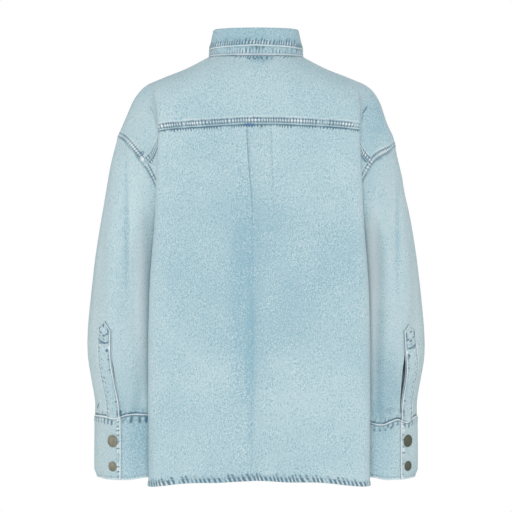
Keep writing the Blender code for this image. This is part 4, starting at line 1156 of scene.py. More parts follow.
# The dark lines that the sections draw along their stitch rows are partly painted shade, standing
# also for the shade in the rows' grooves; the rest of their blue is indigo kept in low cloth.
SECTIONS = {
    "felled": section(
        (0.0, 0.45, 0.10, 0.90, 0.00),
        (0.8, 0.70, 0.25, 0.62, 0.05),
        (1.6, 0.75, 0.40, 0.20, 0.15),
        (2.7, 0.65, 0.12, 0.42, 0.35),
        (3.8, 0.50, 0.02, 0.78, 0.60),
        (5.0, 0.65, 0.22, 0.28, 1.30),
        (6.4, 0.70, 0.36, 0.14, 1.45),
        (7.8, 0.65, 0.20, 0.24, 1.35),
        (9.3, 0.40, 0.00, 0.66, 0.80),
        (10.5, 0.35, 0.05, 0.34, 0.45),
        (12.0, 0.20, 0.48, 0.02, 0.35),
        (14.0, 0.08, 0.16, 0.03, 0.35),
        (17.5, 0.00, 0.00, 0.00, 0.00),
    ),
    # Partly painted shade: the dark line where this cloth runs under the raised edge of the piece
    # sewn over it, blue like the indigo kept there.
    "under": section(
        (0.0, 0.0, 0.00, 1.00, 0.00),
        (0.7, 0.0, 0.00, 0.92, 0.35),
        (1.4, 0.0, 0.00, 0.50, 0.75),
        (2.6, 0.0, 0.12, 0.10, 0.80),
        (4.5, 0.0, 0.12, 0.00, 0.45),
        (8.5, 0.0, 0.00, 0.00, 0.00),
    ),
    "armhole": section(
        (0.0, 0.50, 0.30, 0.45, 0.05),
        (0.9, 0.60, 0.15, 0.60, 0.25),
        (1.8, 0.40, 0.00, 0.78, 0.45),
        (2.8, 0.55, 0.28, 0.24, 0.50),
        (4.3, 0.62, 0.38, 0.08, 0.50),
        (5.8, 0.55, 0.20, 0.24, 0.60),
        (7.2, 0.32, 0.00, 0.86, 0.60),
        (8.4, 0.32, 0.15, 0.26, 0.40),
        (9.8, 0.18, 0.42, 0.00, 0.35),
        (11.5, 0.06, 0.12, 0.05, 0.35),
        (14.0, 0.00, 0.00, 0.00, 0.00),
    ),
    # Painted shade on the sleeve just past the armhole seam's raised edge.
    "sleeve_head": section(
        (0.0, 0.0, 0.00, 0.55, 0.00),
        (1.0, 0.0, 0.00, 0.38, 0.15),
        (2.2, 0.0, 0.10, 0.10, 0.25),
        (4.5, 0.0, 0.05, 0.00, 0.18),
        (7.5, 0.0, 0.00, 0.00, 0.00),
    ),
    "side": section(
        (0.0, 0.50, 0.50, 0.20, 0.10),
        (1.0, 0.60, 0.40, 0.25, 0.25),
        (2.0, 0.42, 0.05, 0.45, 0.40),
        (4.5, 0.60, 0.35, 0.12, 0.75),
        (7.4, 0.34, 0.05, 0.45, 0.50),
        (9.4, 0.18, 0.30, 0.02, 0.30),
        (13.0, 0.00, 0.00, 0.00, 0.00),
    ),
    "hem": section(
        (0.0, 0.80, 0.20, 0.05, 0.70),
        (1.0, 1.00, 0.10, 0.06, 1.30),
        (2.2, 1.00, 0.06, 0.08, 1.40),
        (4.0, 0.90, 0.06, 0.10, 1.40),
        (5.8, 0.75, 0.10, 0.18, 1.00),
        (7.0, 0.40, 0.02, 0.36, 0.45),
        (8.0, 0.30, 0.24, 0.20, 0.30),
        (9.5, 0.20, 0.06, 0.18, 0.60),
        (12.0, 0.08, 0.02, 0.10, 0.45),
        (15.5, 0.00, 0.00, 0.00, 0.00),
    ),
    # Partly painted shade on the yoke just under the stand's raised edge, with indigo kept there.
    "neck": section(
        (0.0, 0.0, 0.00, 1.00, 0.00),
        (1.4, 0.0, 0.00, 0.95, 0.15),
        (2.6, 0.0, 0.05, 0.30, 0.45),
        (4.5, 0.0, 0.10, 0.12, 0.60),
        (8.0, 0.0, 0.05, 0.06, 0.45),
        (14.0, 0.0, 0.00, 0.00, 0.00),
    ),
    "leaf": section(
        (0.0, 0.35, 0.90, 0.00, 0.00),
        (0.8, 0.45, 0.45, 0.05, 0.05),
        (1.6, 0.40, 0.05, 0.44, 0.25),
        (2.8, 0.35, 0.12, 0.34, 0.90),
        (4.6, 0.35, 0.16, 0.24, 1.60),
        (6.2, 0.12, 0.04, 0.26, 1.40),
        (7.8, 0.15, 0.00, 0.14, 1.00),
        (10.0, 0.08, 0.00, 0.06, 0.70),
        (13.0, 0.00, 0.00, 0.04, 0.40),
        (17.0, 0.00, 0.00, 0.00, 0.00),
    ),
    "leaf_end": section(
        (0.0, 0.35, 0.80, 0.00, 0.00),
        (0.9, 0.45, 0.50, 0.05, 0.10),
        (1.8, 0.40, 0.12, 0.20, 0.20),
        (3.0, 0.35, 0.14, 0.20, 0.45),
        (6.2, 0.12, 0.05, 0.42, 0.70),
        (10.0, 0.00, 0.00, 0.00, 0.00),
    ),
    "stand_foot": section(
        (0.0, 0.35, 0.60, 0.00, 0.00),
        (0.8, 0.45, 0.35, 0.00, 0.05),
        (1.5, 0.35, 0.15, 0.20, 0.20),
        (2.6, 0.15, 0.05, 0.36, 0.40),
        (4.2, 0.20, 0.15, 0.04, 0.70),
        (7.0, 0.20, 0.12, 0.02, 0.75),
        (10.0, 0.10, 0.06, 0.00, 0.60),
        (14.0, 0.00, 0.00, 0.00, 0.00),
    ),
    "cuff_top": section(
        (0.0, 0.30, 0.90, 0.00, 0.00),
        (1.0, 0.45, 0.80, 0.00, 0.00),
        (1.6, 0.35, 0.10, 0.60, 0.05),
        (2.4, 0.14, 0.00, 1.00, 0.10),
        (3.4, 0.20, 0.02, 0.45, 0.25),
        (5.0, 0.32, 0.14, 0.04, 0.50),
        (8.0, 0.32, 0.06, 0.02, 0.70),
        (11.0, 0.20, 0.02, 0.02, 0.45),
        (15.5, 0.00, 0.00, 0.00, 0.00),
    ),
    # Painted shade on the sleeve just above the cuff's raised edge.
    "sleeve_foot": section(
        (0.0, 0.0, 0.00, 1.00, 0.00),
        (1.6, 0.0, 0.00, 1.00, 0.10),
        (2.8, 0.0, 0.00, 0.70, 0.20),
        (4.0, 0.0, 0.12, 0.08, 0.30),
        (6.0, 0.0, 0.10, 0.00, 0.40),
        (10.0, 0.0, 0.03, 0.00, 0.30),
        (16.0, 0.0, 0.00, 0.00, 0.00),
    ),
    "cuff_edge": section(
        (0.0, 0.35, 0.85, 0.00, 0.00),
        (0.8, 0.45, 0.55, 0.00, 0.05),
        (1.5, 0.30, 0.05, 0.40, 0.45),
        (2.6, 0.18, 0.05, 0.25, 0.95),
        (4.4, 0.25, 0.08, 0.12, 1.00),
        (6.4, 0.12, 0.04, 0.15, 0.60),
        (9.0, 0.00, 0.00, 0.00, 0.00),
    ),
    "cuff_foot": section(
        (0.0, 0.25, 0.60, 0.00, 0.05),
        (1.2, 0.30, 0.35, 0.00, 0.10),
        (3.0, 0.25, 0.10, 0.08, 0.25),
        (4.4, 0.08, 0.02, 0.20, 0.30),
        (8.0, 0.00, 0.00, 0.00, 0.00),
    ),
    "placket": section(
        (0.0, 0.30, 0.85, 0.00, 0.00),
        (0.8, 0.40, 0.55, 0.00, 0.00),
        (1.5, 0.30, 0.15, 0.22, 0.10),
        (2.5, 0.12, 0.00, 0.42, 0.40),
        (4.0, 0.20, 0.08, 0.15, 0.55),
        (7.0, 0.00, 0.00, 0.00, 0.00),
    ),
}
SECTIONS["band"] = SECTIONS["cuff_edge"]


def seam(rows, pitch, slant, dark, height):
    """A seam by its stitch rows, and its puckers' pitch, slant, share of dark and height."""
    return {"rows": rows, "pitch": pitch, "slant": slant, "dark": dark, "height": height}


SEAMS = {
    "felled": seam((4.2, 10.0), 4.4, 0.05, 0.62, 0.55),
    "under": seam((), 4.3, 0.0, 0.6, 0.4),
    "armhole": seam((1.8, 7.2), 4.8, 0.2, 0.5, 0.35),
    "sleeve_head": seam((), 4.8, 0.2, 0.5, 0.3),
    "side": seam((2.0, 7.4), 4.6, 0.2, 0.5, 0.4),
    "hem": seam((7.0,), 7.0, 0.45, 0.66, 0.75),
    "neck": seam((), 4.9, 0.5, 0.6, 0.5),
    "leaf": seam((6.2,), 4.6, 0.2, 0.6, 0.6),
    "leaf_end": seam((6.2,), 4.8, 0.2, 0.6, 0.4),
    "stand_foot": seam((2.6,), 5.0, -0.1, 0.5, 0.3),
    "cuff_top": seam((2.7, 8.6), 9.2, 0.1, 0.6, 0.5),
    "sleeve_foot": seam((), 8.2, 0.2, 0.6, 0.5),
    "cuff_edge": seam((2.6, 7.0), 9.4, 0.1, 0.26, 0.45),
    "cuff_foot": seam((4.4,), 5.6, 0.4, 0.6, 0.3),
    "band": seam((2.6, 7.0), 5.4, 0.2, 0.5, 0.35),
    "placket": seam((2.5,), 6.4, 0.2, 0.6, 0.3),
}
# What a pucker adds of wear and of indigo, and how far a ribbon goes down into its cloth.
PUCKER_WEAR = 0.50
PUCKER_BLUE = 1.75
RIBBON_DEPTH = 0.9


def sewn(along, inward, kind, seed):
    """A sewn edge's height, wear and indigo, by distance along it and in from it.

    Puckers cross the edge as dark, narrow rungs in a train whose phase, strength and reach wander.
    Between them the cloth stands up and is worn white, and the rungs lie low and stay blue.
    """
    puckers, across = SEAMS[kind], SECTIONS[kind]
    columns = (np.interp(inward, across["at"], across[key]) for key in across if key != "at")
    rise, wear, deep, rung = columns
    pitch, reach = puckers["pitch"], across["at"][-1]
    phase = np.pi * (along + puckers["slant"] * inward) / pitch
    phase = phase + 1.5 * wander(along, 2.6 * pitch, seed)
    dark = bell(np.cos(phase), 0, puckers["dark"])
    strength = np.clip(0.85 + 0.5 * wander(along, 17.0, seed + 1), 0.2, 1.15)
    uneven = np.clip(0.78 + 0.6 * wander(along + 11, pitch * 0.9, seed + 2), 0.1, 1.2)
    ends_at = reach * (0.8 + 0.35 * wander(along + 7, pitch * 0.8, seed + 3))
    ragged = ease((ends_at - inward) / (0.3 * reach))
    rung = rung * strength * uneven * np.where(inward > 0.45 * reach, ragged, 1)
    height = rise + puckers["height"] * rung * (1 - dark)
    wear = wear * (0.6 + 0.4 * strength) + PUCKER_WEAR * rung * (1 - dark) ** 3
    deep = deep * (0.85 + 0.35 * wander(along + 3, 12.0, seed + 4)) + PUCKER_BLUE * rung * dark
    keep = 1 - (inward < -0.3)
    return height * keep, np.clip(wear, 0, 1) * keep, np.clip(deep, 0, 1) * keep


def from_side(sheet, side):
    """A grid turned so that row 0 lies on the side named, and the rows run in from it."""
    if side in ("first", "last"):
        sheet = np.swapaxes(sheet, 0, 1)
    return sheet[::-1] if side in ("top", "last") else sheet


def thread_lines(edge, kind, seed, base):
    """The middle lines of a sewn edge's stitch rows: their points and directions."""
    lines = []
    dense, along = along_seam(edge[:NEAR], 1.1)
    for row in SEAMS[kind]["rows"]:
        line = inwards(dense, np.array([row]))[0]
        height = sewn(along[None], np.full((1, len(along)), row), kind, seed)[0][0]
        direction = line[:, DIRECTION]
        lines.append((line[:, PLACE] + direction * (base + height)[:, None], direction))
    return lines


def ribbon(name, edge, kind, seed, wrap):
    """A seam's own strip of cloth, folded at row 0 of the grid and sunk into the cloth at its end.

    It lies on the outer face, and its underside is in the wall, or past it by wrap under the fold.
    """
    base = LAYER / 2
    dense, along = along_seam(edge[:NEAR], np.clip(SEAMS[kind]["pitch"] / 4.5, 0.9, 1.5))
    reach = SECTIONS[kind]["at"][-1]
    distances = np.concatenate([[0.0, 0.4, 0.9, 1.5], np.arange(2.3, reach + 0.8, 0.85)])
    sheet = inwards(dense, distances)
    inward = distances[:, None] + 0 * along[None]
    height, wear, deep = sewn(along[None] + 0 * inward, inward, kind, seed)
    sunk = ease((inward - 0.7 * reach) / (0.3 * reach))
    ends = ease(np.minimum(along, along[-1] - along) / 0.8)[None]
    top = base + height * (0.3 + 0.7 * ends) + 0.05 - 0.4 * sunk
    under = base - RIBBON_DEPTH - wrap * (1 - ease((inward - 0.5 * reach) / 1.5))
    sheet[..., WEAR], sheet[..., DEEP] = wear, deep
    return slip(name, sheet, top, under), thread_lines(edge, kind, seed, base)


def topstitched(sheet, edges, seed):
    """A small piece's relief from the sewn edges on its sides, with its wear and indigo filled in.

    Along its top and bottom, distances count from the middle column at the side's own end.
    """
    cloth_x, cloth_y = sheet[..., CLOTH][..., 0], sheet[..., CLOTH][..., 1]
    middle = sheet.shape[1] // 2
    centred = cloth_x - cloth_x[:, middle : middle + 1]
    across = centred - centred[:, :1]
    up = cloth_y - cloth_y[:1]
    distance = {
        "bottom": (centred - centred[0, 0], up),
        "top": (centred - centred[-1, 0], up[-1:] - up),
        "first": (up, across),
        "last": (up, across[:, -1:] - across),
    }
    height = 0 * up
    for number, (side, kind) in enumerate(edges):
        rise, wear, deep = sewn(*distance[side], kind, seed + 10 * number)
        height += rise
        sheet[..., WEAR] = np.maximum(sheet[..., WEAR], wear)
        sheet[..., DEEP] = np.maximum(sheet[..., DEEP], deep)
    return height


def edge_threads(sheet, edges, seed, base):
    """The thread lines of all of a small piece's sewn edges."""
    lines = []
    for number, (side, kind) in enumerate(edges):
        lines += thread_lines(from_side(sheet, side), kind, seed + 10 * number, base)
    return lines


# A stitch's bar. Its rings are shares of its half length along, and of the thread's radius wide
# and high.
STITCH_PITCH = 3.2
STITCH_LENGTH = 2.5
THREAD_RADIUS = 0.34
STITCH_SIDES = 4
STITCH_RINGS = table(
    "along radius sag",
    (-1.00, 0.45, -0.9),
    (-0.72, 1.00, 0.1),
    (0.72, 1.00, 0.1),
    (1.00, 0.45, -0.9),
)


def tube_faces(rings, sides):
    """The faces of rings of points along an axis: those between them, and the one at each end."""
    k = np.arange(sides)
    level = np.arange(rings - 1)[:, None] * sides
    a, b = level + k, level + (k + 1) % sides
    around = np.stack([a, a + sides, b + sides, b], axis=-1).reshape(-1, 4)
    return around, np.stack([k, k[::-1] + (rings - 1) * sides])


def stitches(name, lines):
    """Thread along each line: short bars with rounded ends, each turned to the line and the cloth.

    A bar is four rings round its axis, narrower at its ends, and every bar is the same few faces.
    """
    places, tangents, normals = [], [], []
    for points, directions in lines:
        run = lengths(points)
        count = int((run[-1] - 2) / STITCH_PITCH)
        if count < 1:
            continue
        at = 1 + STITCH_PITCH * (np.arange(count) + 0.5)
        before, after = (read_line(at + step, run, points) for step in (-0.8, 0.8))
        places.append(read_line(at, run, points))
        tangents.append(unit(after - before))
        normals.append(unit(read_line(at, run, directions)))
    place, tangent, normal = (np.concatenate(part) for part in (places, tangents, normals))
    side = unit(np.cross(tangent, normal))
    normal = np.cross(side, tangent)
    turn = np.arange(STITCH_SIDES) * 2 * np.pi / STITCH_SIDES
    along = STITCH_LENGTH / 2 * STITCH_RINGS["along"]
    radius, sag = (THREAD_RADIUS * STITCH_RINGS[key][:, None] for key in ("radius", "sag"))
    ring = np.stack([np.cos(turn) * radius, np.sin(turn) * radius + sag], axis=-1)
    points = (
        hang(place)[:, None, None]
        + tangent[:, None, None] * along[None, :, None, None]
        + side[:, None, None] * ring[None, ..., :1]
        + normal[:, None, None] * ring[None, ..., 1:]
    )
    body, tips = tube_faces(len(along), STITCH_SIDES)
    starts = (np.arange(len(place)) * len(along) * STITCH_SIDES)[:, None]
    sides = (np.roll(body, -1, axis=1) + starts[..., None]).reshape(-1, 4)
    ends = np.concatenate([tip + starts for tip in tips])
    made = link_mesh(name, points.reshape(-1, 3), (sides, ends), THREAD)
    return made


# The stud's cap from its seat up over a rolled rim and a shallow groove to its crown, as shares of
# its radius and height.
CAP_PROFILE = table(
    "out up",
    (0.55, 0.00),
    (0.92, 0.00),
    (0.985, 0.10),
    (1.00, 0.26),
    (0.985, 0.46),
    (0.93, 0.62),
    (0.86, 0.68),
    (0.81, 0.66),
    (0.77, 0.70),
    (0.62, 0.86),
    (0.42, 0.95),
    (0.20, 0.99),
    (0.02, 1.00),
)
CAP_SIDES = 56
# How tarnished a cap is. The darkest also stands for painted shade on the right cuff's caps.
BRIGHT, PLAIN, DARK_AND_SHADED = 0.0, 0.3, 0.9


def stud(name, node, radius, place, normal, tarnish=PLAIN):
    """A press stud's cap: its profile turned round an axis that stands on the cloth."""
    across = unit(np.cross(normal, [0.0, 0.0, 1.0]))
    up = np.cross(normal, across)
    turn = np.arange(CAP_SIDES) * 2 * np.pi / CAP_SIDES
    ring = np.cos(turn)[:, None] * across + np.sin(turn)[:, None] * up
    out, rise = CAP_PROFILE["out"], CAP_PROFILE["up"]
    wide, high = radius * out[:, None, None] * ring, CAP_HEIGHT * (rise[:, None, None] * normal)
    points = (hang(place) + wide + high).reshape(-1, 3)
    faces = tube_faces(len(out), CAP_SIDES)
    made = link_mesh(name, points, faces, METAL, sharp=SHARP_METAL, tarnish=tarnish)
    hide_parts(node)
    return made


# ---- materials ----


class Value:
    """A socket in a material's nodes. Arithmetic on it adds the Math nodes for it."""

    def __init__(self, nodes, socket):
        self.nodes, self.socket = nodes, socket

    def math(self, operation, *values, clamp=False):
        """One Math node on these values."""
        settings = {"operation": operation, "use_clamp": clamp}
        return self.nodes.add("ShaderNodeMath", settings, *values)

    def __add__(self, other):
        return self.math("ADD", self, other)

    def __sub__(self, other):
        return self.math("SUBTRACT", self, other)

    def __rsub__(self, other):
        return self.math("SUBTRACT", other, self)

    def __mul__(self, other):
        return self.math("MULTIPLY", self, other)

    def __truediv__(self, other):
        return self.math("DIVIDE", self, other)

    def __pow__(self, other):
        return self.math("POWER", self, other)

    __radd__, __rmul__ = __add__, __mul__

    def clamped(self):
        """The value kept between 0 and 1."""
        return self.math("ADD", self, 0.0, clamp=True)

    def over(self, low, high):
        """0 where the value is low, 1 where it is high, and a level-ended curve between."""
        settings = {"interpolation_type": "SMOOTHSTEP"}
        return self.nodes.add("ShaderNodeMapRange", settings, self, low, high, 0.0, 1.0)


class Finish:
    """One material's nodes, with a Principled shader that its values and colours lead to."""

    def __init__(self, name, **constants):
        self.material = bpy.data.materials.new(name)
        self.material.use_nodes = True
        self.tree = self.material.node_tree
        self.shader = self.tree.nodes["Principled BSDF"]
        for key, value in constants.items():
            self.shader.inputs[key.replace("_", " ")].default_value = value

    def add(self, kind, settings=None, *values, output=0, **named):
        """A node with these settings, whose sockets take values in order or by name."""
        node = self.tree.nodes.new(kind)
        for key, value in (settings or {}).items():
            setattr(node, key, value)
        spaced = [(key.replace("_", " "), value) for key, value in named.items()]
        for key, value in list(enumerate(values)) + spaced:
            if isinstance(value, Value):
                self.tree.links.new(value.socket, node.inputs[key])
            elif value is not None:
                node.inputs[key].default_value = value
        return Value(self, node.outputs[output])

    def space(self):
        """The place in the object, in metres."""
        return self.add("ShaderNodeTexCoord", output="Object")

    def attribute(self, name):
        """A mesh's value of this name at each point."""
        return self.add("ShaderNodeAttribute", {"attribute_name": name}, output="Fac")

    def cloth(self):
        """The place on the flat cloth, in metres."""
        return self.add("ShaderNodeUVMap", {"uv_map": "cloth"})

    def mapped(self, vector, turn, scale, place=(0.0, 0.0, 0.0)):
        """Coordinates turned in the plane by some degrees, then counted in cells per metre."""
        angles = (0.0, 0.0, np.radians(turn))
        turned = self.add("ShaderNodeMapping", None, vector, place, angles, (1.0, 1.0, 1.0))
        return self.add("ShaderNodeVectorMath", {"operation": "MULTIPLY"}, turned, scale)

    def noise(self, vector, scale, detail, roughness, distortion=0.0):
        """Soft noise around a half, with this many cells to a unit of the coordinates."""
        named = {"Scale": scale, "Detail": detail, "Roughness": roughness, "Distortion": distortion}
        return self.add("ShaderNodeTexNoise", None, vector, **named)

    def mix(self, share, first, second):
        """Two colours mixed: the first where the share is 0, the second where it is 1."""
        settings = {"data_type": "RGBA", "blend_type": "MIX", "clamp_factor": True}
        colours = [c if isinstance(c, Value) else (*c, 1.0) for c in (first, second)]
        sockets = [share, None, None, None, None, None, *colours]
        return self.add("ShaderNodeMix", settings, *sockets, output=2)

    def set(self, **sockets):
        """Leads values and colours to the shader's sockets of these names."""
        for key, value in sockets.items():
            self.tree.links.new(value.socket, self.shader.inputs[key.replace("_", " ")])


# The denim's colours: the wash's palest and bluest, the puckers' (also the painted shade's), the
# creases', the worn cloth's (also the painted light's), the wash where it is warm, and the inner
# face's.
PALE = (0.505, 0.612, 0.628)
BLUE = (0.215, 0.372, 0.448)
INDIGO_AND_SHADE = (0.060, 0.140, 0.195)
INK = (0.050, 0.150, 0.320)
WORN_AND_LIT = (0.720, 0.765, 0.775)
FADED = (0.500, 0.595, 0.595)
FADED_BLUE = (0.290, 0.400, 0.440)
BACKING = (0.420, 0.520, 0.600)


def denim():
    """Washed pale denim: flecked, clouded blue, white where it is worn and where light is painted
    on, blue in the puckers and where shade is painted on.

    The flecks, streaks and specks are noise drawn out along the warp, a few threads in size. They
    swing about a mean, more where the cloth is bluer and where broader noise, the bloom, is high.
    The clouds are broad noise through the object. The relief is a fine diagonal ridge, the twill,
    with uneven yarns and the flecks.
    """
    cloth = Finish("washed_denim", Specular_IOR_Level=0.12, Sheen_Weight=0.15, Sheen_Roughness=0.6)
    flat, space = cloth.cloth(), cloth.space()
    flecks = cloth.noise(cloth.mapped(flat, 64.0, (450.0, 760.0, 1.0)), 1.0, 2.0, 0.6, 0.6)
    streaks = cloth.noise(cloth.mapped(flat, 96.0, (240.0, 520.0, 1.0)), 1.0, 2.0, 0.6, 0.8)
    apart = cloth.mapped(flat, 76.0, (240.0, 460.0, 1.0), (3.0, 1.0, 0.0))
    specks = cloth.noise(apart, 1.0, 1.0, 0.5)
    clouds = cloth.noise(space, 10.0, 3.0, 0.55)
    bloom = cloth.noise(space, 45.0, 3.0, 0.6, 0.4)
    names = ("wear", "deep", "tone", "inside", "warm")
    wear, deep, tone, inside, warm = (cloth.attribute(name) for name in names)
    crowded = bloom.over(0.38, 0.64) * 0.6 + 0.55
    mottle = flecks.over(0.37, 0.68) * 0.80 + streaks.over(0.40, 0.70) * 0.45
    swing = (mottle - 0.44) * (tone * 1.2 + 1) * crowded
    shade = swing + clouds.over(0.34, 0.68) * 0.16 + specks.over(0.60, 0.76) * 0.7 + tone + 0.34
    shade = shade.clamped()
    faded = cloth.mix(shade, FADED, FADED_BLUE)
    colour = cloth.mix(warm, cloth.mix(shade, PALE, BLUE), faded)
    ragged = cloth.noise(space, 520.0, 2.0, 0.6)
    # The blue stands for kept indigo and painted shade, the white for wear and painted light.
    blue = (deep * (0.65 + ragged * 0.7)).over(0.02, 0.90)
    white = (wear * (0.6 + ragged * 0.8)).over(0.12, 0.8)
    colour = cloth.mix(blue * 0.9, colour, INDIGO_AND_SHADE)
    colour = cloth.mix(deep.over(1.0, 1.5) * 0.8, colour, INK)
    colour = cloth.mix(white * 0.85, colour, WORN_AND_LIT)
    colour = cloth.mix(inside * 0.75, colour, BACKING)
    yarn = cloth.noise(cloth.mapped(flat, 0.0, (2600.0, 350.0, 1.0)), 1.0, 2.0, 0.5)
    twill = cloth.add(
        "ShaderNodeTexWave", {"wave_type": "BANDS", "bands_direction": "X"},
        cloth.mapped(flat, 27.0, (330.0, 330.0, 1.0)), Scale=1.0, Distortion=0.6, Detail=1.0,
    )
    relief = twill * 0.35 + yarn * 0.3 + flecks * 0.7 + ragged * 0.4
    bump = cloth.add("ShaderNodeBump", None, Strength=0.5, Distance=0.0006, Height=relief)
    cloth.set(Base_Color=colour, Roughness=0.97 - white * 0.06 - yarn * 0.05, Normal=bump)
    return cloth.material


def thread():
    """Pale cotton thread, twisted: a fine slanting ridge, faded unevenly."""
    yarn = Finish("faded_thread", Specular_IOR_Level=0.2, Sheen_Weight=0.1)
    space = yarn.space()
    fade = yarn.noise(space, 60.0, 2.0, 0.6)
    ply = yarn.noise(space, 2400.0, 1.0, 0.5)
    colour = yarn.mix(fade.over(0.35, 0.7), (0.30, 0.38, 0.42), (0.46, 0.51, 0.52))
    bump = yarn.add("ShaderNodeBump", None, Strength=0.4, Distance=0.0002, Height=ply)
    colour = yarn.mix(ply * 0.35, colour, (0.24, 0.33, 0.40))
    yarn.set(Base_Color=colour, Roughness=0.75 + fade * 0.15, Normal=bump)
    return yarn.material


def antique_brass():
    """Satin brass gone brown-grey: patched with tarnish, bright where it is rubbed, pitted."""
    brass = Finish("antique_brass", Metallic=0.75)
    space = brass.space()
    tarnish = brass.noise(space, 170.0, 4.0, 0.6)
    pits = brass.noise(space, 1500.0, 2.0, 0.6)
    lightened = brass.add("ShaderNodeNewGeometry", output="Pointiness").over(0.49, 0.56)
    colour = brass.mix(tarnish.over(0.3, 0.75), (0.285, 0.275, 0.215), (0.185, 0.182, 0.142))
    colour = brass.mix(brass.attribute("tarnish"), colour, (0.085, 0.095, 0.068))
    colour = brass.mix(lightened * 0.35, colour, (0.30, 0.29, 0.24))
    bump = brass.add("ShaderNodeBump", None, Strength=0.35, Distance=0.0003, Height=pits + tarnish)
    brass.set(Base_Color=colour, Roughness=0.5 + tarnish * 0.2 + pits * 0.08, Normal=bump)
    return brass.material


def pale_floor():
    """Matt, nearly white paint, a little uneven."""
    floor = Finish("pale_floor", Roughness=0.9, Specular_IOR_Level=0.1)
    grain = floor.noise(floor.space(), 3.0, 2.0, 0.5)
    floor.set(Base_Color=floor.mix(grain, (0.86, 0.86, 0.86), (0.89, 0.89, 0.89)))
    return floor.material


DENIM, THREAD, METAL = denim(), thread(), antique_brass()


# ---- the garment ----


def opened_sleeve(side):
    """A sleeve's grid as on the left arm, whose inner slit edge stands back from the slit."""
    angles, rings = np.meshgrid(sleeve_angles(), RINGS)
    opening = np.interp(rings, SLIT_OPENING["ring"], SLIT_OPENING[side])
    near = ease(1 - (angles - SLIT_ANGLE) / 30)
    return sleeve_points(rings, angles + 1.3 * opening * near, f"twist_{side}")


def body_grids():
    """Every grid of the skin, upwards by row and to the right as seen from outside by column."""
    back = back_half()
    yoke = yoke_half(back[-1])
    wing, front = yoke_wing(), front_half()
    rise = pleat_rise(back.reshape(-1, 3)).reshape(*back.shape[:2], 1)
    back = back + grid_normals(back) * rise
    return {
        "back": both_sides(back)[:, ::-1],
        "yoke": both_sides(yoke)[:, ::-1],
        "wing_left": wing[::-1],
        "wing_right": mirrored(wing[::-1]),
        "front_left": front,
        "front_right": mirrored(front),
        "strip": middle_strip(HEM_LEVELS, BAND_COLUMNS, ARMHOLE_FRONT[::-1], ARMHOLE_CHEST[::-1]),
        "sleeve_left": opened_sleeve("left")[:, ::-1],
        "sleeve_right": opened_sleeve("right") * [-1, 1, 1],
    }


def read_at(sheet, rows, columns):
    """A grid at fractional row numbers and, along each such row, fractional column numbers."""
    sheet = cubic_rows(sheet, np.repeat(rows[:, None], sheet.shape[1], axis=1))
    sheet = np.swapaxes(cubic_rows(np.swapaxes(sheet, 0, 1), columns.T), 0, 1)
    sheet[..., DIRECTION] = unit(sheet[..., DIRECTION])
    return sheet


def draped(grid):
    """A strip of its own, moved by the same folds as the skin, with every channel."""
    directions = grid_normals(grid)
    flat, across = grid.reshape(-1, 3), directions.reshape(-1, 3)
    moved = (flat + across * folds(flat, across)[:, None]).reshape(grid.shape)
    return with_channels(moved, grid_normals(moved), SMALL_START)


def paint_pleat_shade(back):
    """Painted shade under the pleat's edges, in blue, and wear along them: strong on the left,
    faint on the right.
    """
    x, z = back[..., 0], back[..., 2]
    for side, strengths in ((1, (0.62, 0.58, 0.34, 0.12, 0.0)), (-1, (0.42, 0.28, 0.0, 0.0, 0.0))):
        strength = np.interp(-z, (112, 190, 290, 420, 640), strengths)
        back[..., DEEP] += strength * np.exp(-(((side * x - 19.5) / 0.6) ** 2))
        back[..., WEAR] += 0.35 * strength * np.exp(-(((side * x - 18.0) / 0.8) ** 2))


SKIN = make_skin(body_grids())
paint_pleat_shade(SKIN["back"])


def sides_turned(sheet):
    """A grid with its rows and columns exchanged."""
    return np.swapaxes(sheet, 0, 1)


def armhole_edge(side):
    """The body's cloth round an armhole: row 0 is the seam, up the back and down the front."""
    back, yoke = SKIN["back"][HEM_ROWS:], SKIN["yoke"]
    wing, front = SKIN[f"wing_{side}"][::-1], SKIN[f"front_{side}"][HEM_ROWS:][::-1]
    if side == "left":
        wing, front = wing[:, ::-1], front[:, ::-1]
    else:
        back, yoke = back[:, ::-1], yoke[:, ::-1]
    parts = [back[:, :NEAR], yoke[1:, :NEAR], wing[1:, :NEAR], front[1:, :NEAR]]
    return sides_turned(np.concatenate(parts))


def side_edge(side):
    """The back's cloth along a side seam: row 0 is the seam, from the hem up to the underarm."""
    back = SKIN["back"][: HEM_ROWS + 1]
    return sides_turned(back[:, :NEAR] if side == "left" else back[:, ::-1][:, :NEAR])


def own_grain(edge):
    """A seam's cloth with coordinates of its own: in from the seam, and along it."""
    fresh = edge.copy()
    fresh[..., CLOTH] = cloth_coordinates(edge[..., PLACE])[..., ::-1] + SEAM_START
    return fresh


def sewing(name, edges):
    """Ribbons and their thread for a list of seams: name, edge, kind and seed for each.

    A hem's ribbon wraps the cloth, and the others lie on it.
    """
    made, lines = [], []
    for label, edge, kind, seed in edges:
        piece, rows = ribbon(label, edge, kind, seed, LAYER if kind == "hem" else 0.0)
        made.append(piece)
        lines += rows
    return [*made, stitches(name, lines)] if lines else made


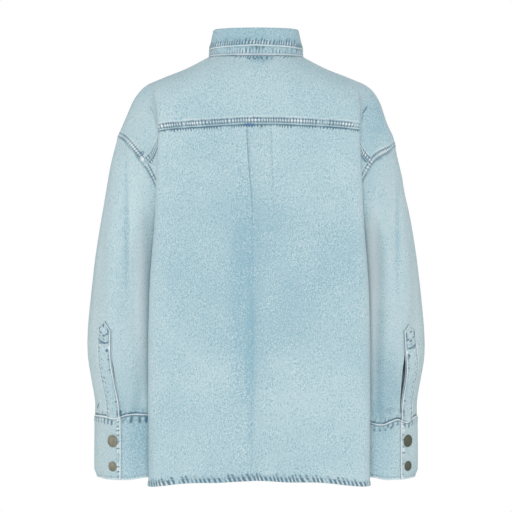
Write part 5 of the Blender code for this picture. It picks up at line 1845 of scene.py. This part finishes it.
def declare(node):
    """Hides the imported part of this node, which a cloth piece now stands for."""
    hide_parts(node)


def make_body():
    """The back panel, the yoke and the two fronts, each with its seams' ribbons and thread."""
    back, yoke, strip = SKIN["back"], SKIN["yoke"], SKIN["strip"]
    back_sewing = sewing("back_thread", [
        ("back_hem", back[:NEAR], "hem", 11),
        ("back_under_yoke", back[::-1][:NEAR], "under", 12),
        ("side_seam_left", side_edge("left"), "side", 13),
        ("side_seam_right", side_edge("right"), "side", 14),
    ])
    reach, middle = len(PLEAT_COLUMNS) + len(BESIDE_PLEAT), yoke.shape[1] // 2
    neck_columns = slice(middle - reach + 1, middle + reach)
    yoke_sewing = sewing("yoke_thread", [
        ("yoke_back_seam", yoke[:NEAR], "felled", 21),
        ("yoke_front_seam_left", SKIN["wing_left"][:NEAR], "felled", 22),
        ("yoke_front_seam_right", SKIN["wing_right"][:NEAR], "felled", 23),
        ("yoke_neck", yoke[::-1][:NEAR, neck_columns], "neck", 24),
        ("armhole_seam_left", own_grain(armhole_edge("left")), "armhole", 25),
        ("armhole_seam_right", own_grain(armhole_edge("right")), "armhole", 26),
    ])
    front_sewing = {
        side: sewing(f"front_{side}_thread", [
            (f"front_{side}_hem", SKIN[f"front_{side}"][:NEAR], "hem", 31 + number),
            (f"front_{side}_under_yoke", SKIN[f"front_{side}"][::-1][:NEAR], "under", 33 + number),
        ])
        for number, side in enumerate(("left", "right"))
    }
    back_cloth = shell("back_cloth", [back])
    declare("back_panel")
    yoke_cloth = shell("yoke_cloth", [yoke, SKIN["wing_left"], SKIN["wing_right"]], tone=0.05)
    declare("yoke")
    left = shell("front_left_cloth", [strip[:, 1:], SKIN["front_left"]])
    declare("front_left")
    right = shell("front_right_cloth", [SKIN["front_right"]])
    declare("front_right")


def paint_marks(sheet, marks):
    """Blue and white ovals on a small piece, by share across and distance from its first row."""
    share = np.linspace(0, 1, sheet.shape[1])[None]
    fallen = sheet[..., CLOTH][..., 1] - sheet[:1, :, CLOTH][..., 1]
    for across, down, half_width, half_height, lean, amount in marks:
        right, over = (share - across) * PLACKET_WIDTH, fallen - down
        a = (right + over * lean) / half_width
        shape = np.exp(-((a * a + (over / half_height) ** 2) ** 1.5))
        sheet[..., DEEP] += MARK_BLUE * max(amount, 0) * shape
        sheet[..., WEAR] += MARK_WHITE * max(-amount, 0) * shape


def edged(node, sheet, edges, seed, heights=(DOUBLE / 2, -DOUBLE / 2), marks=(), **look):
    """A small piece with sewn edges, at these heights of its outer and inner face: its wall, whose
    outer face has the edges' relief, and its thread. Its marks are painted on it.
    """
    outer, inner = heights
    relief = topstitched(sheet, edges, seed)
    paint_marks(sheet, marks)
    made = shell(f"{node}_cloth", [sheet], outer + relief.ravel(), inner, **look)
    return made, stitches(f"{node}_thread", edge_threads(sheet, edges, seed, outer))


def make_band():
    """The front band, on the middle strip that both fronts share."""
    strip = SKIN["strip"]
    columns = np.arange(strip.shape[1])
    share = stations(2 * BAND_HALF_WIDTH, 9, 9, 1.1, 3.0)
    across = np.interp(share, np.linspace(0, 1, len(columns)), columns)
    rows = np.linspace(0, len(strip) - 1, BAND_ROWS)
    band = read_at(strip, rows, np.tile(across, (BAND_ROWS, 1)))
    edges = [("first", "band"), ("last", "band"), ("bottom", "cuff_foot")]
    base = LAYER / 2 + SEAM_GAP + DOUBLE
    heights = base, base - DOUBLE
    made, thread = edged("front_band", band, edges, 41, heights, gap=SEAM_GAP / 2, tone=0.05)
    declare("front_band")


def make_collar():
    """The stand, whose outer face is turned outwards, and the leaf that folds down over it."""
    stand = draped(stand_points())[:, ::-1]
    stand[..., DIRECTION] *= -1
    stand[..., CLOTH] = cloth_coordinates(stand[..., PLACE]) + SMALL_START
    edges = [("bottom", "stand_foot"), ("first", "leaf_end"), ("last", "leaf_end")]
    made, thread = edged("collar_stand", stand, edges, 51, gap=0.0, tone=0.14)
    declare("collar_stand")
    leaf = draped(leaf_points())
    edges = [("top", "leaf"), ("first", "leaf_end"), ("last", "leaf_end")]
    made, thread = edged("collar_leaf", leaf, edges, 55, gap=0.0, tone=0.32)
    declare("collar_leaf")


# Marks on a placket: share across from its outer edge, millimetres down from its tip, half sizes,
# lean, and how blue (above 0) or white they are. On the right one they start further down.
PLACKET_MARKS = (
    (0.42, 6.0, 2.6, 2.8, 0.0, 1.0),
    (0.10, 14.4, 1.4, 4.5, 0.0, 0.6),
    (0.26, 20.0, 2.6, 1.5, 0.5, 0.6),
    (0.50, 22.4, 3.4, 1.5, 0.0, 0.8),
    (0.74, 20.0, 2.6, 1.5, -0.5, 0.7),
    (0.86, 14.4, 1.4, 4.5, 0.0, 0.7),
    (0.48, 13.0, 3.5, 3.5, 0.0, -0.35),
    (0.45, 28.5, 5.0, 3.0, 0.0, 0.25),
    (0.46, 34.4, 9.5, 1.4, 0.05, 0.85),
    (0.25, 38.0, 3.0, 1.3, 0.4, 0.5),
    (0.20, 42.0, 3.0, 1.2, 0.4, -0.6),
    (0.50, 44.0, 3.0, 1.2, 0.4, -0.5),
    (0.76, 47.0, 2.0, 2.2, 0.0, 1.1),
    (0.90, 43.0, 1.4, 4.0, -0.3, -0.8),
    (0.30, 64.0, 1.4, 1.2, 0.0, 0.6),
    (0.28, 78.0, 1.4, 1.2, 0.0, 0.6),
    (0.30, 94.0, 1.6, 1.4, 0.3, 0.7),
    (0.34, 102.0, 1.4, 1.4, 0.0, 0.6),
    (0.32, 110.0, 1.4, 1.2, 0.3, 0.5),
    (0.34, 118.0, 1.4, 1.4, 0.0, 0.7),
)
MARKS_START = {"left": 0.0, "right": 11.0}
MARK_BLUE = 1.75
MARK_WHITE = 1.2
# The sides of a cuff's grid, and each one's kind of edge.
CUFF_SIDES = (("top", "top"), ("bottom", "foot"), ("first", "edge"), ("last", "edge"))


def make_placket(side):
    """The pointed strip beside a sleeve's slit: the sleeve's own cloth there, lifted out of it."""
    node, sleeve, angles = f"sleeve_placket_{side}", SKIN[f"sleeve_{side}"], sleeve_angles()
    tip_ring, tip_angle = PLACKET_TIP
    head = np.linspace(tip_ring + PLACKET_TIP_STEP, PLACKET_SHOULDER_RING, 10)
    straight = np.linspace(PLACKET_SHOULDER_RING, PLACKET_FOOT_RING, 120)[1:]
    rings = np.concatenate([head, straight])
    spread = np.clip((rings - tip_ring) / (PLACKET_SHOULDER_RING - tip_ring), 0, 1)[:, None]
    around = np.linspace(*PLACKET_EDGES, 24)[None]
    wanted = tip_angle + (around - tip_angle) * spread
    columns = np.interp(wanted, angles, np.arange(len(angles)))
    if side == "left":
        columns = len(angles) - 1 - columns
    strip = read_at(sleeve, np.interp(rings, RINGS, np.arange(len(RINGS))), columns)
    strip[..., CLOTH] = cloth_coordinates(strip[..., PLACE]) + PLACKET_START
    marks = [(across, down + MARKS_START[side], *rest) for across, down, *rest in PLACKET_MARKS]
    base = PLACKET_LIFT + LAYER / 2
    # The placket's rim is painted dark blue, as shade beside its raised edge.
    look = {"gap": SEAM_GAP / 2, "tone": 0.02, "rim_shade": 0.8}
    edges = [("first", "placket"), ("last", "placket")]
    made, thread = edged(node, strip, edges, 61, (base, base - LAYER), marks, **look)
    declare(node)


def make_sleeves():
    """Both sleeves with their seams, cuffs and plackets."""
    for number, side in enumerate(("left", "right")):
        name = f"sleeve_{side}"
        grid = SKIN[name]
        sleeve = shell(f"{name}_cloth", [grid], tone=-0.04 + 0.04 * number)
        rise = stations(CUFF_HEIGHT, 9, 16, 1.1, 2.0)
        share = stations(CUFF_LENGTH, 10, 10, 1.1, 1.7)
        rise, share = np.meshgrid(rise, share, indexing="ij")
        around = CUFF_START_ANGLE + (SLIT_ANGLE + 360 - CUFF_START_ANGLE) * share
        cuff = cuff_points(rise, around, f"twist_{side}")
        cuff = draped(cuff if side == "left" else mirrored(cuff))
        edges = [(place, f"cuff_{kind}") for place, kind in CUFF_SIDES]
        # The cuff's rim is painted dark blue, as shade beside its raised edge.
        look = {"gap": 0.0, "tone": 0.05, "rim_shade": 0.5}
        made, thread = edged(f"cuff_{side}", cuff, edges, 71 + number, **look)
        sewn_on = sewing(f"{name}_thread", [
            (f"{name}_head", own_grain(grid[:NEAR]), "sleeve_head", 81 + number),
            (f"{name}_foot", grid[::-1][:NEAR], "sleeve_foot", 83 + number),
        ])
        declare(name)
        declare(f"cuff_{side}")
        make_placket(side)


# A place on the cuff and its neighbours on four sides, by share up and degrees round.
NEIGHBOURS = ((0, 0), (0, -2), (0, 2), (-0.02, 0), (0.02, 0))


def seated(line, height, lift):
    """A place on an upward line in the middle plane, raised in front of it, and its direction."""
    i = np.searchsorted(line[:, 2], height) - 1
    step = line[i + 1] - line[i]
    normal = np.cross([1.0, 0.0, 0.0], unit(step))
    share = (height - line[i, 2]) / step[2]
    return line[i] + share * step + normal * lift, normal


def make_studs():
    """Two caps on each cuff, the right ones darker by tarnish and painted shade, six on the band
    and one on the stand.
    """
    for side, turned, tarnish in (("left", 1.0, BRIGHT), ("right", -1.0, DARK_AND_SHADED)):
        for name, radius, share in CUFF_CAP_RISES:
            middle, left, right, low, high = (
                cuff_points(share + up, CUFF_CAP_ANGLE + around, f"twist_{side}") * [turned, 1, 1]
                for up, around in NEIGHBOURS
            )
            normal = turned * unit(np.cross(right - left, high - low))
            place = middle + normal * (DOUBLE / 2 + SEAM_GAP)
            node = f"cuff_cap_{name}_{side}"
            stud(f"cuff_stud_{name}_{side}", node, radius, place, normal, tarnish)
    middle = SKIN["strip"][:, len(BAND_COLUMNS) // 2, PLACE]
    band_lift = (LAYER + DOUBLE) / 2 + SEAM_GAP + DOUBLE / 2 + SEAM_GAP
    for number, height in enumerate(FRONT_CAP_HEIGHTS, 1):
        place, normal = seated(middle, height, band_lift)
        stud(f"front_stud_{number}", f"front_cap_{number}", WIDE_CAP, place, normal)
    stand = stand_points()
    front = stand[:, STAND_FRONT].mean(axis=1)
    front[:, 0] = 0
    place, normal = seated(front, STAND_HEIGHT / 2 - NECK_DROP, DOUBLE / 2 + SEAM_GAP)
    stud("collar_stud", "collar_cap", SMALL_CAP, place, normal)


# ---- the stage ----


FLOOR_HALF = 2.3
FLOOR_HEIGHT = -0.95
AIR_GLOW = 0.24
# The soft lights: name, place and side in metres, and watts. All of them face one point.
LAMPS = (
    ("behind", (0.06, 4.2, 0.3), 0.8, 104),
    ("left", (3.2, 0.8, 0.6), 2.0, 46),
    ("right", (-3.2, 0.8, 0.4), 2.0, 43),
    ("before", (-0.4, -4.2, 0.6), 2.0, 112),
    ("above", (0, 0.3, 2.6), 2.6, 30),
)
LIT_POINT = (0, 0, -0.3)
CAMERA_PLACE = (0, 5, -0.317)
CAMERA_LENS = 219.7


def make_lamp(name, place, size, watts):
    """A square soft light that faces the lit point."""
    light = bpy.data.lights.new(name, "AREA")
    light.shape = "SQUARE"
    light.size = size
    light.energy = watts
    made = bpy.data.objects.new(name, light)
    made.location = place
    made.rotation_euler = (Vector(LIT_POINT) - Vector(place)).to_track_quat("-Z", "Y").to_euler()
    bpy.context.scene.collection.objects.link(made)


def make_floor():
    """A pale square floor well below the shirt."""
    corners = FLOOR_HALF * np.array([(-1, -1), (1, -1), (1, 1), (-1, 1)])
    points = np.concatenate([corners, np.full((4, 1), FLOOR_HEIGHT)], axis=1)
    floor = bpy.data.meshes.new("floor")
    floor.from_pydata(points.tolist(), [], [(0, 1, 2, 3)])
    floor.materials.append(pale_floor())
    made = bpy.data.objects.new("floor", floor)
    bpy.context.scene.collection.objects.link(made)


def white_air():
    """Air that is white to the camera and lights the shirt with a weaker glow."""
    air = bpy.data.worlds.new("white_air")
    air.use_nodes = True
    background = air.node_tree.nodes["Background"]
    background.inputs["Color"].default_value = (1.0, 1.0, 1.0, 1.0)
    seen = air.node_tree.nodes.new("ShaderNodeLightPath")
    strength = air.node_tree.nodes.new("ShaderNodeMapRange")
    strength.inputs["To Min"].default_value = AIR_GLOW
    strength.inputs["To Max"].default_value = 1.0
    air.node_tree.links.new(seen.outputs["Is Camera Ray"], strength.inputs["Value"])
    air.node_tree.links.new(strength.outputs["Result"], background.inputs["Strength"])
    return air


def make_stage():
    """The floor, the air, five soft lights all round, and a distant camera behind the shirt."""
    scene = bpy.context.scene
    make_floor()
    scene.world = white_air()
    for row in LAMPS:
        make_lamp(*row)
    scene.view_settings.view_transform = "Standard"
    view = bpy.data.cameras.new("camera")
    view.lens = CAMERA_LENS
    view.clip_end = 50
    camera = bpy.data.objects.new("camera", view)
    camera.location = CAMERA_PLACE
    camera.rotation_euler = (np.radians(90), 0, np.radians(180))
    scene.collection.objects.link(camera)
    scene.camera = camera


make_body()
make_band()
make_collar()
make_sleeves()
make_studs()
make_stage()
